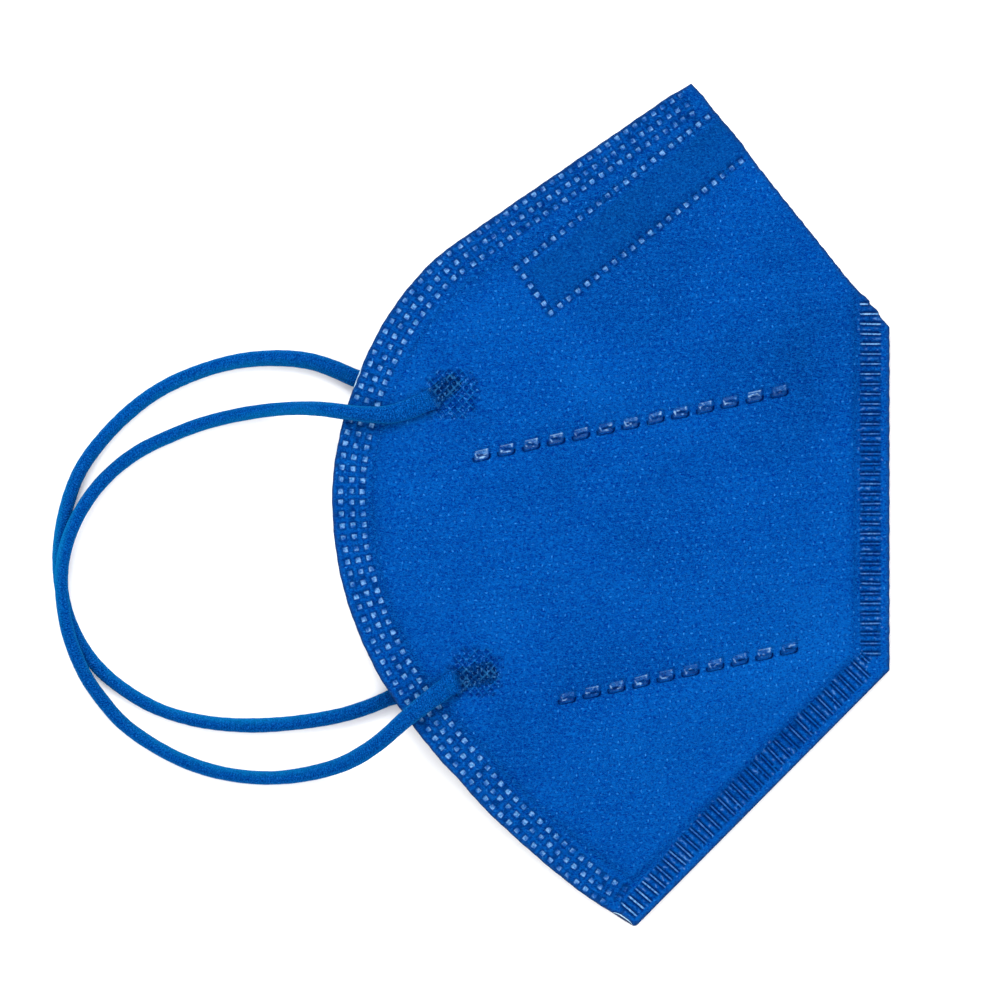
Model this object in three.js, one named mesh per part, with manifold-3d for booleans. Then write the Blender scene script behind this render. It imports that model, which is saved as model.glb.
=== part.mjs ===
// Fold-flat disposable respirator, lying folded on its far side with its two ear loops beside it.
//
// Millimetres, +Z up. The origin is on the surface that the folded body lies on, under the middle of
// the body's outline. +Y runs up the straight front seam towards the nose, and +X points from the
// open face edge to that seam. "Near" is the upper half of the folded body and "far" the lower one.
//
// The body is one laminated sheet: it is folded over along the nose crease, welded to itself along
// the front and the chin, and open along the face edge.
import * as THREE from "three";
import { mergeVertices } from "three/addons/utils/BufferGeometryUtils.js";
import Module from "manifold-3d";

const wasm = await Module();
wasm.setup();

const { smoothstep, lerp, clamp } = THREE.MathUtils;
const vec2 = (x, y) => new THREE.Vector2(x, y);
const vec3 = (x, y, z) => new THREE.Vector3(x, y, z);

// ---- Driving dimensions ----------------------------------------------------------------------

const HALF_WIDTH = 53; // half of the folded body, face edge to front seam
const HALF_HEIGHT = 80; // half of the folded body, chin tip to nose tip

const SHEET = 1.3; // thickness of the loose laminate
const BORDER_SHEET = 1.0; // where the face edge's border is welded thin
const SEAM_SHEET = 0.8; // each layer, where the two are welded together
const SEAM_HEIGHT = 1.3; // height of the plane in which the two halves are welded

const SEAM_WIDTH = 5.9; // from the cut edge to the end of the front and chin weld
const BORDER_WIDTH = 7.2; // from the face edge to the end of its three rows of weld points
const FOLD_GAP = 0.9; // space left inside the nose crease
const FOLD_RADIUS = 1.9; // how far from the crease the outer surface starts to round over
const CREASE_WALL = 1.4; // laminate between the crease and the hollow

const OPENING = 8.5; // how far the near half stands above the lying one where the body is loosest
const OPENING_REACH = 50; // distance from the seams at which it is that high
const EDGE_CLOSING = 0.6; // how far the near half comes down again at the face edge
const EDGE_CLOSING_REACH = 14;

const EDGE_LIFT = 3.35; // the far half's face edge lies on the far loop's cord
const EDGE_LIFT_FROM = 9; // distances from the face edge between which the lift fades out
const EDGE_LIFT_TO = 32;
const EDGE_LIFT_ENDS = { low: -78, lowFull: -44, highFull: 32, high: 78 }; // along Y

const CORD_DIAMETER = 2.9;
const CORD_SIDES = 8;
const CLEARANCE = 0.3; // gap between neighbouring pieces
const LEAST_GAP = 0.02; // between the two halves where they meet at the seams

// Soft dents (negative) and swells of the near half: centre, reach and height.
const DENTS = [
  { x: 33, y: 30, reach: 15, height: -0.9 },
  { x: -33, y: 33, reach: 12, height: 0.4 },
  { x: -28, y: 2, reach: 18, height: 0.7 },
  { x: -2, y: -38, reach: 12, height: -0.6 },
  { x: 8, y: 26, reach: 12, height: 0.5 },
];

// ---- Outline ---------------------------------------------------------------------------------

const CORNERS = {
  noseTip: vec2(15, HALF_HEIGHT),
  frontTop: vec2(HALF_WIDTH, 33.8),
  frontBottom: vec2(HALF_WIDTH, -31.4),
  chinTip: vec2(4.4, -HALF_HEIGHT),
};

// The face edge from the nose tip to the chin tip: a straight side, two arcs and a nearly straight side.
const faceEdge = new THREE.Path();
faceEdge.moveTo(CORNERS.noseTip.x, CORNERS.noseTip.y);
faceEdge.lineTo(-31.2, 49);
faceEdge.bezierCurveTo(-42.7, 41.3, -HALF_WIDTH, 19, -HALF_WIDTH, 2);
faceEdge.bezierCurveTo(-HALF_WIDTH, -20.5, -42.4, -39.6, -28.5, -52.8);
faceEdge.bezierCurveTo(-17.4, -64.4, -7.8, -72.5, 1.8, -78.8);
faceEdge.lineTo(CORNERS.chinTip.x, CORNERS.chinTip.y);

// A straight side of the outline. Its distance() is positive inside the outline.
function straightSide(from, to) {
  const along = to.clone().sub(from).normalize();
  const inward = vec2(-along.y, along.x);
  return {
    inward,
    distance: (x, y) => inward.x * (x - from.x) + inward.y * (y - from.y),
    offset: (inset) => ({ point: from.clone().addScaledVector(inward, inset), along }),
  };
}
const SIDES = {
  chin: straightSide(CORNERS.chinTip, CORNERS.frontBottom),
  front: straightSide(CORNERS.frontBottom, CORNERS.frontTop),
  crease: straightSide(CORNERS.frontTop, CORNERS.noseTip),
};

// How far the crease stands out from its straight line, at these shares of its run from the front
// seam to the nose tip. It is held out where the seam welds it, and drawn in just above that.
const CREASE_BULGE = new THREE.CubicInterpolant([0, 0.05, 0.15, 0.75, 1], [0, 0.1, -0.6, 0.25, 0], 1);
const CREASE_RUN = CORNERS.frontTop.distanceTo(CORNERS.noseTip);
function creaseBulge(x, y) {
  const { inward } = SIDES.crease;
  const run = (x - CORNERS.frontTop.x) * inward.y - (y - CORNERS.frontTop.y) * inward.x;
  return CREASE_BULGE.evaluate(clamp(run / CREASE_RUN, 0, 1))[0];
}
const distanceToCrease = (x, y) => SIDES.crease.distance(x, y) + creaseBulge(x, y);

const EDGE_PROBES = faceEdge.getSpacedPoints(120);
function distanceToFaceEdge(x, y) {
  return Math.min(...EDGE_PROBES.map((p) => Math.hypot(p.x - x, p.y - y)));
}

// The smaller of several distances, with the valley between them rounded.
function smoothMin(...distances) {
  const sum = distances.reduce((total, d) => total + Math.max(d, 0.01) ** -4, 0);
  return sum ** -0.25;
}

// ---- Surfaces of the folded sheet ------------------------------------------------------------

function measures(x, y) {
  return {
    face: distanceToFaceEdge(x, y),
    seam: Math.min(SIDES.front.distance(x, y), SIDES.chin.distance(x, y)),
    softSeam: smoothMin(
      SIDES.front.distance(x, y) - SEAM_WIDTH,
      SIDES.chin.distance(x, y) - SEAM_WIDTH,
      distanceToCrease(x, y),
    ),
    crease: distanceToCrease(x, y),
  };
}

// Thickness of one half's laminate.
function sheetThickness(at) {
  const border = lerp(BORDER_SHEET, SHEET, smoothstep(at.face, BORDER_WIDTH - 1, BORDER_WIDTH + 1));
  return lerp(SEAM_SHEET, border, smoothstep(at.seam, SEAM_WIDTH - 0.5, SEAM_WIDTH + 1.5));
}

// Underside of the far half, where the seams and the crease hold it up, and where the cord does.
function heldUp(at) {
  const seam = (SEAM_HEIGHT - SEAM_SHEET) * (1 - smoothstep(at.seam, SEAM_WIDTH, SEAM_WIDTH + 9));
  const crease = 0.9 * (1 - smoothstep(at.crease, 3, 15));
  return Math.max(seam, crease);
}
function cordLift(y, at) {
  const { low, lowFull, highFull, high } = EDGE_LIFT_ENDS;
  const spread = smoothstep(y, low, lowFull) * (1 - smoothstep(y, highFull, high));
  return EDGE_LIFT * spread * (1 - smoothstep(at.face, EDGE_LIFT_FROM, EDGE_LIFT_TO));
}

// Height of the hollow between the two halves, before the cord lifts the far one.
function hollowHeight(x, y, at) {
  const opened = Math.sin((Math.PI / 2) * Math.min(1, Math.max(0, at.softSeam) / OPENING_REACH));
  const closing = EDGE_CLOSING * (1 - smoothstep(at.face, 0, EDGE_CLOSING_REACH));
  const dents = DENTS.reduce((sum, d) => {
    return sum + d.height * Math.exp(-((x - d.x) ** 2 + (y - d.y) ** 2) / d.reach ** 2);
  }, 0);
  const fold = FOLD_GAP * (1 - smoothstep(at.crease, 2, 12)) * smoothstep(at.seam, SEAM_WIDTH, 12);
  return Math.max(0, opened * (OPENING - closing + dents) + fold);
}

const farOuter = (x, y, at = measures(x, y)) => Math.max(heldUp(at), cordLift(y, at));
const farInner = (x, y, at = measures(x, y)) => farOuter(x, y, at) + sheetThickness(at);
function nearInner(x, y, at = measures(x, y)) {
  const resting = heldUp(at) + sheetThickness(at) + hollowHeight(x, y, at);
  return Math.max(farInner(x, y, at) + LEAST_GAP, resting);
}
const nearOuter = (x, y, at = measures(x, y)) => nearInner(x, y, at) + sheetThickness(at);

// The two outer surfaces draw together, in a quarter ellipse each, towards the nose crease. The weld
// across the crease's lower end presses the fold flat.
function rounded(x, y) {
  const at = measures(x, y);
  const low = farOuter(x, y, at);
  const high = nearOuter(x, y, at);
  const reach = Math.min(1, (Math.max(0, at.crease) + 0.12) / FOLD_RADIUS);
  const pressed = 1 - smoothstep(at.seam, 3, SEAM_WIDTH + 1);
  const swell = Math.sqrt(1 - (1 - Math.max(reach, pressed)) ** 2);
  const middle = (low + high) / 2;
  return { low: middle - (middle - low) * swell, high: middle + (high - middle) * swell };
}
const nearSurface = (x, y) => rounded(x, y).high;
const farSurface = (x, y) => rounded(x, y).low;

// ---- Rings of points that follow the outline -------------------------------------------------

const RING_COUNTS = { face: 27, chin: 8, front: 7, crease: 12 };
const CENTRE = vec2(-2, 2);

function crossing(a, b) {
  const det = a.along.x * b.along.y - a.along.y * b.along.x;
  const gap = b.point.clone().sub(a.point);
  return a.point.clone().addScaledVector(a.along, (gap.x * b.along.y - gap.y * b.along.x) / det);
}

// The face edge moved inwards by inset and trimmed where the crease and chin offsets cross it.
function trimmedFaceEdge(inset, creaseInset, chinInset) {
  const inside = (p) =>
    Math.min(
      SIDES.crease.distance(p.x, p.y) - creaseInset,
      SIDES.chin.distance(p.x, p.y) - chinInset,
    );
  const fine = faceEdge.getSpacedPoints(600).map((p, i) => {
    const along = faceEdge.getTangentAt(i / 600);
    return vec2(p.x - along.y * inset, p.y + along.x * inset);
  });
  if (inset < 0) {
    const before = fine[0].clone().sub(fine[3]).setLength(4 - inset).add(fine[0]);
    const after = fine.at(-1).clone().sub(fine.at(-4)).setLength(4 - inset).add(fine.at(-1));
    fine.unshift(before);
    fine.push(after);
  }
  const trimmed = [];
  fine.forEach((p, i) => {
    const now = inside(p);
    const last = i ? inside(fine[i - 1]) : now;
    if (i && now * last < 0) trimmed.push(fine[i - 1].clone().lerp(p, last / (last - now)));
    if (now >= 0) trimmed.push(p);
  });
  return trimmed;
}

// count points spaced evenly along a polyline, with its first point and without its last.
function resampled(points, count) {
  const lengths = [0];
  points.slice(1).forEach((p, i) => lengths.push(lengths[i] + p.distanceTo(points[i])));
  return Array.from({ length: count }, (_, k) => {
    const target = (lengths.at(-1) * k) / count;
    const i = Math.max(1, lengths.findIndex((l) => l > target));
    const share = (target - lengths[i - 1]) / (lengths[i] - lengths[i - 1]);
    return points[i - 1].clone().lerp(points[i], share);
  });
}

// One closed ring, anticlockwise from the nose tip, at these insets from the sides.
function outlineRing({ face, seam, crease }) {
  const edge = trimmedFaceEdge(face, crease, seam);
  const chin = SIDES.chin.offset(seam);
  const front = SIDES.front.offset(seam);
  const fold = SIDES.crease.offset(crease);
  const [bottom, top] = [crossing(chin, front), crossing(front, fold)];
  return [
    ...resampled(edge, RING_COUNTS.face),
    ...resampled([edge.at(-1), bottom], RING_COUNTS.chin),
    ...resampled([bottom, top], RING_COUNTS.front),
    ...resampled([top, edge[0]], RING_COUNTS.crease).map((p) =>
      p.addScaledVector(SIDES.crease.inward, -creaseBulge(p.x, p.y)),
    ),
  ];
}

// A closed solid between two height functions, over rings that shrink towards the centre.
function layeredSolid(insets, shares, top, bottom) {
  const outer = insets.map(outlineRing);
  const inner = shares.map((s) => outer.at(-1).map((p) => CENTRE.clone().lerp(p, s)));
  const rings = [...outer, ...inner];
  const count = rings[0].length;
  const flat = [...rings.flat(), CENTRE];
  const positions = [];
  for (const height of [top, bottom]) for (const p of flat) positions.push(p.x, p.y, height(p.x, p.y));
  const below = flat.length;
  const index = [];
  const face = (a, b, c) => index.push(a, b, c, c + below, b + below, a + below);
  for (let i = 0; i < count; i++) {
    const j = (i + 1) % count;
    for (let r = 0; r + 1 < rings.length; r++) {
      const [a, b] = [r * count + i, r * count + j];
      const [c, d] = [a + count, b + count];
      face(a, b, c);
      face(b, d, c);
    }
    const last = (rings.length - 1) * count;
    face(last + i, last + j, below - 1);
    index.push(i, i + below, j + below, i, j + below, j); // side wall
  }
  const geometry = new THREE.BufferGeometry();
  geometry.setAttribute("position", new THREE.Float32BufferAttribute(positions, 3));
  return geometry.setIndex(index);
}

// ---- Solids ----------------------------------------------------------------------------------

function solid(geometry) {
  const bare = geometry.index ? geometry.toNonIndexed() : geometry.clone();
  bare.deleteAttribute("normal");
  bare.deleteAttribute("uv");
  const merged = mergeVertices(bare, 1e-4);
  return new wasm.Manifold(
    new wasm.Mesh({
      numProp: 3,
      vertProperties: new Float32Array(merged.attributes.position.array),
      triVerts: new Uint32Array(merged.index.array),
    }),
  );
}

function geometryOf(manifold) {
  const mesh = manifold.getMesh();
  const geometry = new THREE.BufferGeometry();
  geometry.setAttribute("position", new THREE.BufferAttribute(mesh.vertProperties, 3));
  geometry.setIndex(new THREE.BufferAttribute(mesh.triVerts, 1));
  geometry.computeVertexNormals();
  return geometry;
}

// A closed band: sections is a list of rings of points, each with the same number of points.
function loftedBand(sections) {
  const sides = sections[0].length;
  const positions = sections.flat().flatMap((p) => [p.x, p.y, p.z]);
  const index = [];
  for (let s = 0; s + 1 < sections.length; s++) {
    for (let i = 0; i < sides; i++) {
      const [a, b] = [s * sides + i, s * sides + ((i + 1) % sides)];
      index.push(a, b, b + sides, a, b + sides, a + sides);
    }
  }
  const last = (sections.length - 1) * sides;
  for (let i = 1; i + 1 < sides; i++) {
    index.push(0, i + 1, i, last, last + i, last + i + 1);
  }
  const geometry = new THREE.BufferGeometry();
  geometry.setAttribute("position", new THREE.Float32BufferAttribute(positions, 3));
  return geometry.setIndex(index);
}

// ---- Nose clip and the raised pocket over it -------------------------------------------------

const CLIP = {
  alongCrease: 14.6, // from the nose tip, down the crease, to the clip's middle
  width: 5.2,
  thickness: 0.5,
  reach: 43.5, // from the crease to the end of each leg
  sunk: 0.1, // how far its inner face lies behind the laminate's
};
const POCKET = { width: 9.6, reach: 46.6, rise: 0.6 };

const creaseAlong = CORNERS.frontTop.clone().sub(CORNERS.noseTip).normalize();
const clipStart = CORNERS.noseTip.clone().addScaledVector(creaseAlong, CLIP.alongCrease);
const clipInward = SIDES.crease.inward;

// A U-shaped band folded over the crease. It follows low() and high(), each a height at a distance
// from the crease, and rounds the fold from bend onwards. It reaches from inside to outside of them.
function foldedBand({ low, high, bend, reach, width, inside, outside }) {
  const path = [];
  const legSteps = 8;
  for (let i = legSteps; i > 0; i--) {
    const d = bend + ((reach - bend) * i) / legSteps;
    path.push({ d, z: low(d) });
  }
  const [bottom, top] = [low(bend), high(bend)];
  const foldSteps = 6;
  for (let i = 0; i <= foldSteps; i++) {
    const angle = (Math.PI * i) / foldSteps;
    const reachIn = Math.sin(angle) * Math.min(bend, (top - bottom) / 2 + 0.2);
    path.push({ d: bend - reachIn, z: lerp(bottom, top, (1 - Math.cos(angle)) / 2) });
  }
  for (let i = 1; i <= legSteps; i++) {
    const d = bend + ((reach - bend) * i) / legSteps;
    path.push({ d, z: high(d) });
  }
  const sections = path.map((p, i) => {
    const [a, b] = [path[Math.max(0, i - 1)], path[Math.min(path.length - 1, i + 1)]];
    const length = Math.hypot(b.d - a.d, b.z - a.z);
    const normal = { d: -(b.z - a.z) / length, z: (b.d - a.d) / length };
    const corner = (offset, across) => {
      const ground = clipStart
        .clone()
        .addScaledVector(clipInward, p.d + normal.d * offset)
        .addScaledVector(creaseAlong, across);
      return vec3(ground.x, ground.y, p.z + normal.z * offset);
    };
    const half = width / 2;
    return [corner(inside, half), corner(outside, half), corner(outside, -half), corner(inside, -half)];
  });
  return loftedBand(sections);
}

const onClipLine = (height) => (d) => {
  const p = clipStart.clone().addScaledVector(clipInward, d);
  return height(p.x, p.y);
};
const clipPath = { low: onClipLine(farInner), high: onClipLine(nearInner), bend: 2.0 };
const pocketPath = { low: onClipLine(farOuter), high: onClipLine(nearOuter), bend: 2.3 };

function noseClip() {
  const { width, reach, thickness, sunk } = CLIP;
  return foldedBand({ ...clipPath, reach, width, inside: sunk, outside: sunk + thickness });
}
function noseClipRecess() {
  return foldedBand({
    ...clipPath,
    reach: CLIP.reach + CLEARANCE,
    width: CLIP.width + 2 * CLEARANCE,
    inside: -CLEARANCE,
    outside: CLIP.sunk + CLIP.thickness + CLEARANCE,
  });
}
function nosePocket() {
  const { width, reach, rise } = POCKET;
  return foldedBand({ ...pocketPath, reach, width, inside: -0.5, outside: rise });
}

// ---- Weld marks cut into the sheet -----------------------------------------------------------

const DASH = { length: 3.1, width: 1.5, depth: 0.3 };
const DASH_ROWS = [
  { x: -24.7, y: 9.8, toX: 32.2, toY: 21.9, count: 13 },
  { x: -8.4, y: -36.5, toX: 34.6, toY: -27.2, count: 10 },
];
const BAR = { length: 4.2, width: 0.85, depth: 0.3, edge: 1.1 };
const BAR_ROWS = [
  { side: "front", from: CORNERS.frontTop, to: CORNERS.frontBottom, start: 0.5, end: 1.5, count: 34 },
  { side: "chin", from: CORNERS.frontBottom, to: CORNERS.chinTip, start: 2.8, end: 2.6, count: 35 },
];

// A block that cuts a groove of this depth into both outer surfaces at one place.
function grooveCutters(x, y, turn, length, width, depth) {
  const block = (z) => {
    const box = new THREE.BoxGeometry(length, width, 2).rotateZ(turn);
    return solid(box.translate(x, y, z));
  };
  return [block(nearSurface(x, y) - depth + 1), block(farSurface(x, y) + depth - 1)];
}

function dashCutters() {
  return DASH_ROWS.flatMap((row) => {
    const turn = Math.atan2(row.toY - row.y, row.toX - row.x);
    return Array.from({ length: row.count }, (_, i) => {
      const share = i / (row.count - 1);
      const [x, y] = [lerp(row.x, row.toX, share), lerp(row.y, row.toY, share)];
      return grooveCutters(x, y, turn, DASH.length, DASH.width, DASH.depth);
    }).flat();
  });
}

function barCutters() {
  return BAR_ROWS.flatMap((row) => {
    const along = row.to.clone().sub(row.from);
    const run = along.length();
    const inward = SIDES[row.side].inward;
    return Array.from({ length: row.count }, (_, i) => {
      const d = lerp(row.start, run - row.end, i / (row.count - 1));
      const place = row.from
        .clone()
        .addScaledVector(along, d / run)
        .addScaledVector(inward, BAR.edge + BAR.length / 2);
      return grooveCutters(place.x, place.y, inward.angle(), BAR.length, BAR.width, BAR.depth);
    }).flat();
  });
}

// ---- Body ------------------------------------------------------------------------------------

function maskBody() {
  const outer = layeredSolid(
    [
      { face: 0, seam: 0, crease: 0 },
      { face: 2.5, seam: 2.5, crease: 0.5 },
      { face: 6.2, seam: SEAM_WIDTH, crease: 1.4 },
      { face: 8.4, seam: 8, crease: 3.5 },
      { face: 14, seam: 13, crease: 9 },
    ],
    [0.84, 0.64, 0.38],
    nearSurface,
    farSurface,
  );
  const hollow = layeredSolid(
    [
      { face: -1.5, seam: SEAM_WIDTH, crease: CREASE_WALL },
      { face: 4, seam: 7.5, crease: 3 },
      { face: 8.4, seam: 10, crease: 6 },
      { face: 14, seam: 14, crease: 10 },
    ],
    [0.84, 0.64, 0.38],
    nearInner,
    farInner,
  );
  return solid(outer)
    .add(solid(nosePocket()))
    .subtract(solid(hollow))
    .subtract(solid(noseClipRecess()))
    .subtract(wasm.Manifold.union([...dashCutters(), ...barCutters()]));
}

// ---- Ear loops -------------------------------------------------------------------------------

// Centre lines of the two elastic cords, from their upper weld to their lower one.
const NEAR_LOOP = [
  { x: -36, y: 19.2, z: 13.3 },
  { x: -38.3, y: 18.2, z: 13.25 },
  { x: -41.8, y: 17.2, z: 13 },
  { x: -45.9, y: 17.1, z: 12.4 },
  { x: -50.5, y: 17.6, z: 11.7 },
  { x: -55.4, y: 18.3, z: 9.6 },
  { x: -61.1, y: 18.4, z: 5.4 },
  { x: -66.8, y: 17.8, z: 2.5 },
  { x: -72.5, y: 16.9, z: 1.55 },
  { x: -78.2, y: 15.3, z: 1.45 },
  { x: -83.9, y: 13.1, z: 1.45 },
  { x: -89.6, y: 10.2, z: 1.45 },
  { x: -94.6, y: 6.7, z: 1.6 },
  { x: -98.5, y: 2.3, z: 2.6 },
  { x: -101.6, y: -2.9, z: 4.1 },
  { x: -103.6, y: -8.2, z: 4.7 },
  { x: -104.5, y: -13.2, z: 4.75 },
  { x: -104.4, y: -18.1, z: 4.75 },
  { x: -103.5, y: -23.6, z: 4.75 },
  { x: -101.7, y: -29.3, z: 4.5 },
  { x: -99.5, y: -33.3, z: 3.2 },
  { x: -96.6, y: -37.1, z: 1.8 },
  { x: -93, y: -41.2, z: 1.45 },
  { x: -87.7, y: -45.3, z: 1.45 },
  { x: -81, y: -48.8, z: 1.45 },
  { x: -74, y: -50.9, z: 1.45 },
  { x: -66, y: -51.7, z: 1.45 },
  { x: -58.8, y: -51.3, z: 1.8 },
  { x: -51.2, y: -49.1, z: 4.2 },
  { x: -44.9, y: -45.4, z: 8.7 },
  { x: -38.9, y: -40.5, z: 11.8 },
  { x: -34.9, y: -37.3, z: 12.6 },
  { x: -31.3, y: -34.6, z: 12.95 },
];
const FAR_LOOP = [
  { x: -40.2, y: 22.2, z: 1.5 },
  { x: -44.6, y: 22.8, z: 1.5 },
  { x: -48.5, y: 24, z: 1.5 },
  { x: -52.9, y: 26, z: 1.5 },
  { x: -57.3, y: 27.2, z: 1.45 },
  { x: -63, y: 27.9, z: 1.45 },
  { x: -70.6, y: 27.3, z: 1.45 },
  { x: -78.2, y: 25.4, z: 1.45 },
  { x: -85.8, y: 21.8, z: 1.45 },
  { x: -92, y: 17.3, z: 1.45 },
  { x: -97.2, y: 11.7, z: 1.45 },
  { x: -101, y: 6.2, z: 1.45 },
  { x: -103.3, y: 0.2, z: 1.45 },
  { x: -104.6, y: -6.7, z: 1.45 },
  { x: -104.7, y: -13, z: 1.45 },
  { x: -103.6, y: -20.2, z: 1.45 },
  { x: -101.4, y: -25.9, z: 1.45 },
  { x: -97.8, y: -30.9, z: 1.45 },
  { x: -92.6, y: -35.3, z: 1.45 },
  { x: -86, y: -38.9, z: 1.45 },
  { x: -78.2, y: -41.1, z: 1.45 },
  { x: -69.5, y: -41.9, z: 1.45 },
  { x: -60.2, y: -41.4, z: 1.45 },
  { x: -51.6, y: -39.9, z: 1.45 },
  { x: -46.2, y: -38.2, z: 1.5 },
  { x: -41.7, y: -36.5, z: 1.5 },
  { x: -37.3, y: -35.2, z: 1.5 },
];

function routeCurve(route) {
  return new THREE.CatmullRomCurve3(route.map((p) => vec3(p.x, p.y, p.z)), false, "centripetal");
}

function cordTube(route) {
  const section = new THREE.Shape();
  for (let i = 0; i < CORD_SIDES; i++) {
    const angle = (2 * Math.PI * (i + 0.5)) / CORD_SIDES;
    const place = vec2(Math.cos(angle), Math.sin(angle)).multiplyScalar(CORD_DIAMETER / 2);
    if (i) section.lineTo(place.x, place.y);
    else section.moveTo(place.x, place.y);
  }
  const path = routeCurve(route);
  const steps = 44;
  return new THREE.ExtrudeGeometry(section, { steps, extrudePath: path, curveSegments: 1 });
}

// The welded end of a cord, pressed from its round section into a thin broad tongue. Each row is a
// place along the tongue from the cord: how far, how wide, how thick.
const TONGUE = [
  { at: 0, width: 2.7, thickness: 2.5 },
  { at: 2.2, width: 3.9, thickness: 1.7 },
  { at: 4.2, width: 5.0, thickness: 0.9 },
  { at: 9.0, width: 5.2, thickness: 0.8 },
  { at: 10.4, width: 3.2, thickness: 0.7 },
];
const TONGUE_SIDES = 10;

// side is +1 above the near half and -1 below the far one.
function weldedTongue(from, to, surface, side) {
  const along = to.clone().sub(from).normalize();
  const across = vec2(-along.y, along.x);
  const sections = TONGUE.map((row) => {
    const middle = from.clone().addScaledVector(along, row.at);
    const seat = surface(middle.x, middle.y) + side * (CLEARANCE + row.thickness / 2 + 0.05);
    return Array.from({ length: TONGUE_SIDES }, (_, i) => {
      const angle = (2 * Math.PI * i) / TONGUE_SIDES;
      const place = middle.clone().addScaledVector(across, (Math.cos(angle) * row.width) / 2);
      const height = Math.max(0.06, seat + (Math.sin(angle) * row.thickness) / 2);
      return vec3(place.x, place.y, height);
    });
  });
  return loftedBand(sections);
}

// Each tongue starts where its cord ends and points at the middle of its weld.
const TONGUE_GAP = 0.6; // from the cord's end to the tongue
const WELDS = [
  { name: "near_upper", route: NEAR_LOOP, end: 0, side: 1, weld: vec2(-31.4, 22.4) },
  { name: "near_lower", route: NEAR_LOOP, end: -1, side: 1, weld: vec2(-25.1, -32.6) },
  { name: "far_upper", route: FAR_LOOP, end: 0, side: -1, weld: vec2(-31.4, 22.4) },
  { name: "far_lower", route: FAR_LOOP, end: -1, side: -1, weld: vec2(-25.1, -32.6) },
];

function loopEnd({ route, end, side, weld }) {
  const cordEnd = vec2(route.at(end).x, route.at(end).y);
  const from = cordEnd.clone().add(weld.clone().sub(cordEnd).setLength(TONGUE_GAP));
  return weldedTongue(from, weld, side > 0 ? nearSurface : farSurface, side);
}

// ---- Assembly --------------------------------------------------------------------------------

const MATERIALS = {
  laminate: new THREE.MeshStandardMaterial({ color: 0x0a55b2, roughness: 0.85, metalness: 0 }),
  elastic: new THREE.MeshStandardMaterial({ color: 0x0a5cae, roughness: 0.9, metalness: 0 }),
  clipMetal: new THREE.MeshStandardMaterial({ color: 0xb4b8bc, roughness: 0.4, metalness: 0.9 }),
};

function named(name, geometry, material) {
  const mesh = new THREE.Mesh(geometry, material);
  mesh.name = name;
  return mesh;
}

const respirator = new THREE.Group();
respirator.add(named("mask_body", geometryOf(maskBody()), MATERIALS.laminate));
respirator.add(named("nose_clip", noseClip(), MATERIALS.clipMetal));
respirator.add(named("ear_loop_near", cordTube(NEAR_LOOP), MATERIALS.elastic));
respirator.add(named("ear_loop_far", cordTube(FAR_LOOP), MATERIALS.elastic));
for (const weld of WELDS) {
  respirator.add(named(`loop_end_${weld.name}`, loopEnd(weld), MATERIALS.elastic));
}

export default respirator;
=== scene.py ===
"""Fold-flat respirator with two ear loops, lying folded on a pale table.

The shape functions work in millimetres and the meshes are made in metres. The near half of the
folded body is the upper one, and the far half lies on the table. "In" means away from an edge."""
import math

import bpy
import numpy as np
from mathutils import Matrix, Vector, kdtree
from mathutils.geometry import delaunay_2d_cdt


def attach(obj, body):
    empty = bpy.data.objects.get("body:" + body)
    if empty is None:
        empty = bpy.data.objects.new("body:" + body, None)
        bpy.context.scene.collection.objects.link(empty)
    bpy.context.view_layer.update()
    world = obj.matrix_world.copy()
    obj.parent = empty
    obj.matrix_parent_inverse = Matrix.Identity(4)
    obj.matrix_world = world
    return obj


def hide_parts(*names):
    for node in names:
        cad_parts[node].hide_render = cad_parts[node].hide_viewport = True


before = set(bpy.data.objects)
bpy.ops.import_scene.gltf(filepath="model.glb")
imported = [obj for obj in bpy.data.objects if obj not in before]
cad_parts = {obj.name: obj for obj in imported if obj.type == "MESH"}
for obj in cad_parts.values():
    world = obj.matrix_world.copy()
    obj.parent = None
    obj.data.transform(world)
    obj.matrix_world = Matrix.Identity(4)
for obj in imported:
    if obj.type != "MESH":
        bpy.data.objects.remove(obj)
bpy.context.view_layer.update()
bpy.ops.object.select_all(action="DESELECT")

MM = 0.001
scene = bpy.context.scene
rng = np.random.default_rng(11)


# ---- Small helpers ----

def smoothstep(x, low, high):
    t = np.clip((x - low) / (high - low), 0, 1)
    return t * t * (3 - 2 * t)


def between(x, rise, fall):
    """1 between two slopes, each given by where it starts and ends, and 0 outside them."""
    return smoothstep(x, *rise) * (1 - smoothstep(x, *fall))


def bell(x, middle, reach, power=2):
    """1 at the middle, fading out on both sides. A higher power has a flatter top."""
    return np.exp(-(np.abs((x - middle) / reach) ** power))


def eased(x, at, values):
    """Goes from value to value at these places, easing out of each and into the next."""
    x = np.clip(x, at[0], at[-1])
    i = np.clip(np.searchsorted(at, x, side="right") - 1, 0, len(at) - 2)
    at, values = np.array(at, float), np.array(values, float)
    return values[i] + (values[i + 1] - values[i]) * smoothstep(x, at[i], at[i + 1])


def unit(v):
    v = np.array(v, float)
    return v / np.linalg.norm(v)


def left_of(v):
    """The flat direction a quarter turn to the left of this one."""
    return np.array((-v[1], v[0]))


def runs(points):
    """Distance along a line to each of its points."""
    return np.concatenate([[0], np.cumsum(np.linalg.norm(np.diff(points, axis=0), axis=1))])


def respaced(points, spacing):
    """The same line with evenly spaced points, its two ends kept."""
    run = runs(points)
    at = np.linspace(0, run[-1], max(1, round(run[-1] / spacing)) + 1)
    return np.column_stack([np.interp(at, run, column) for column in points.T])


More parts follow.
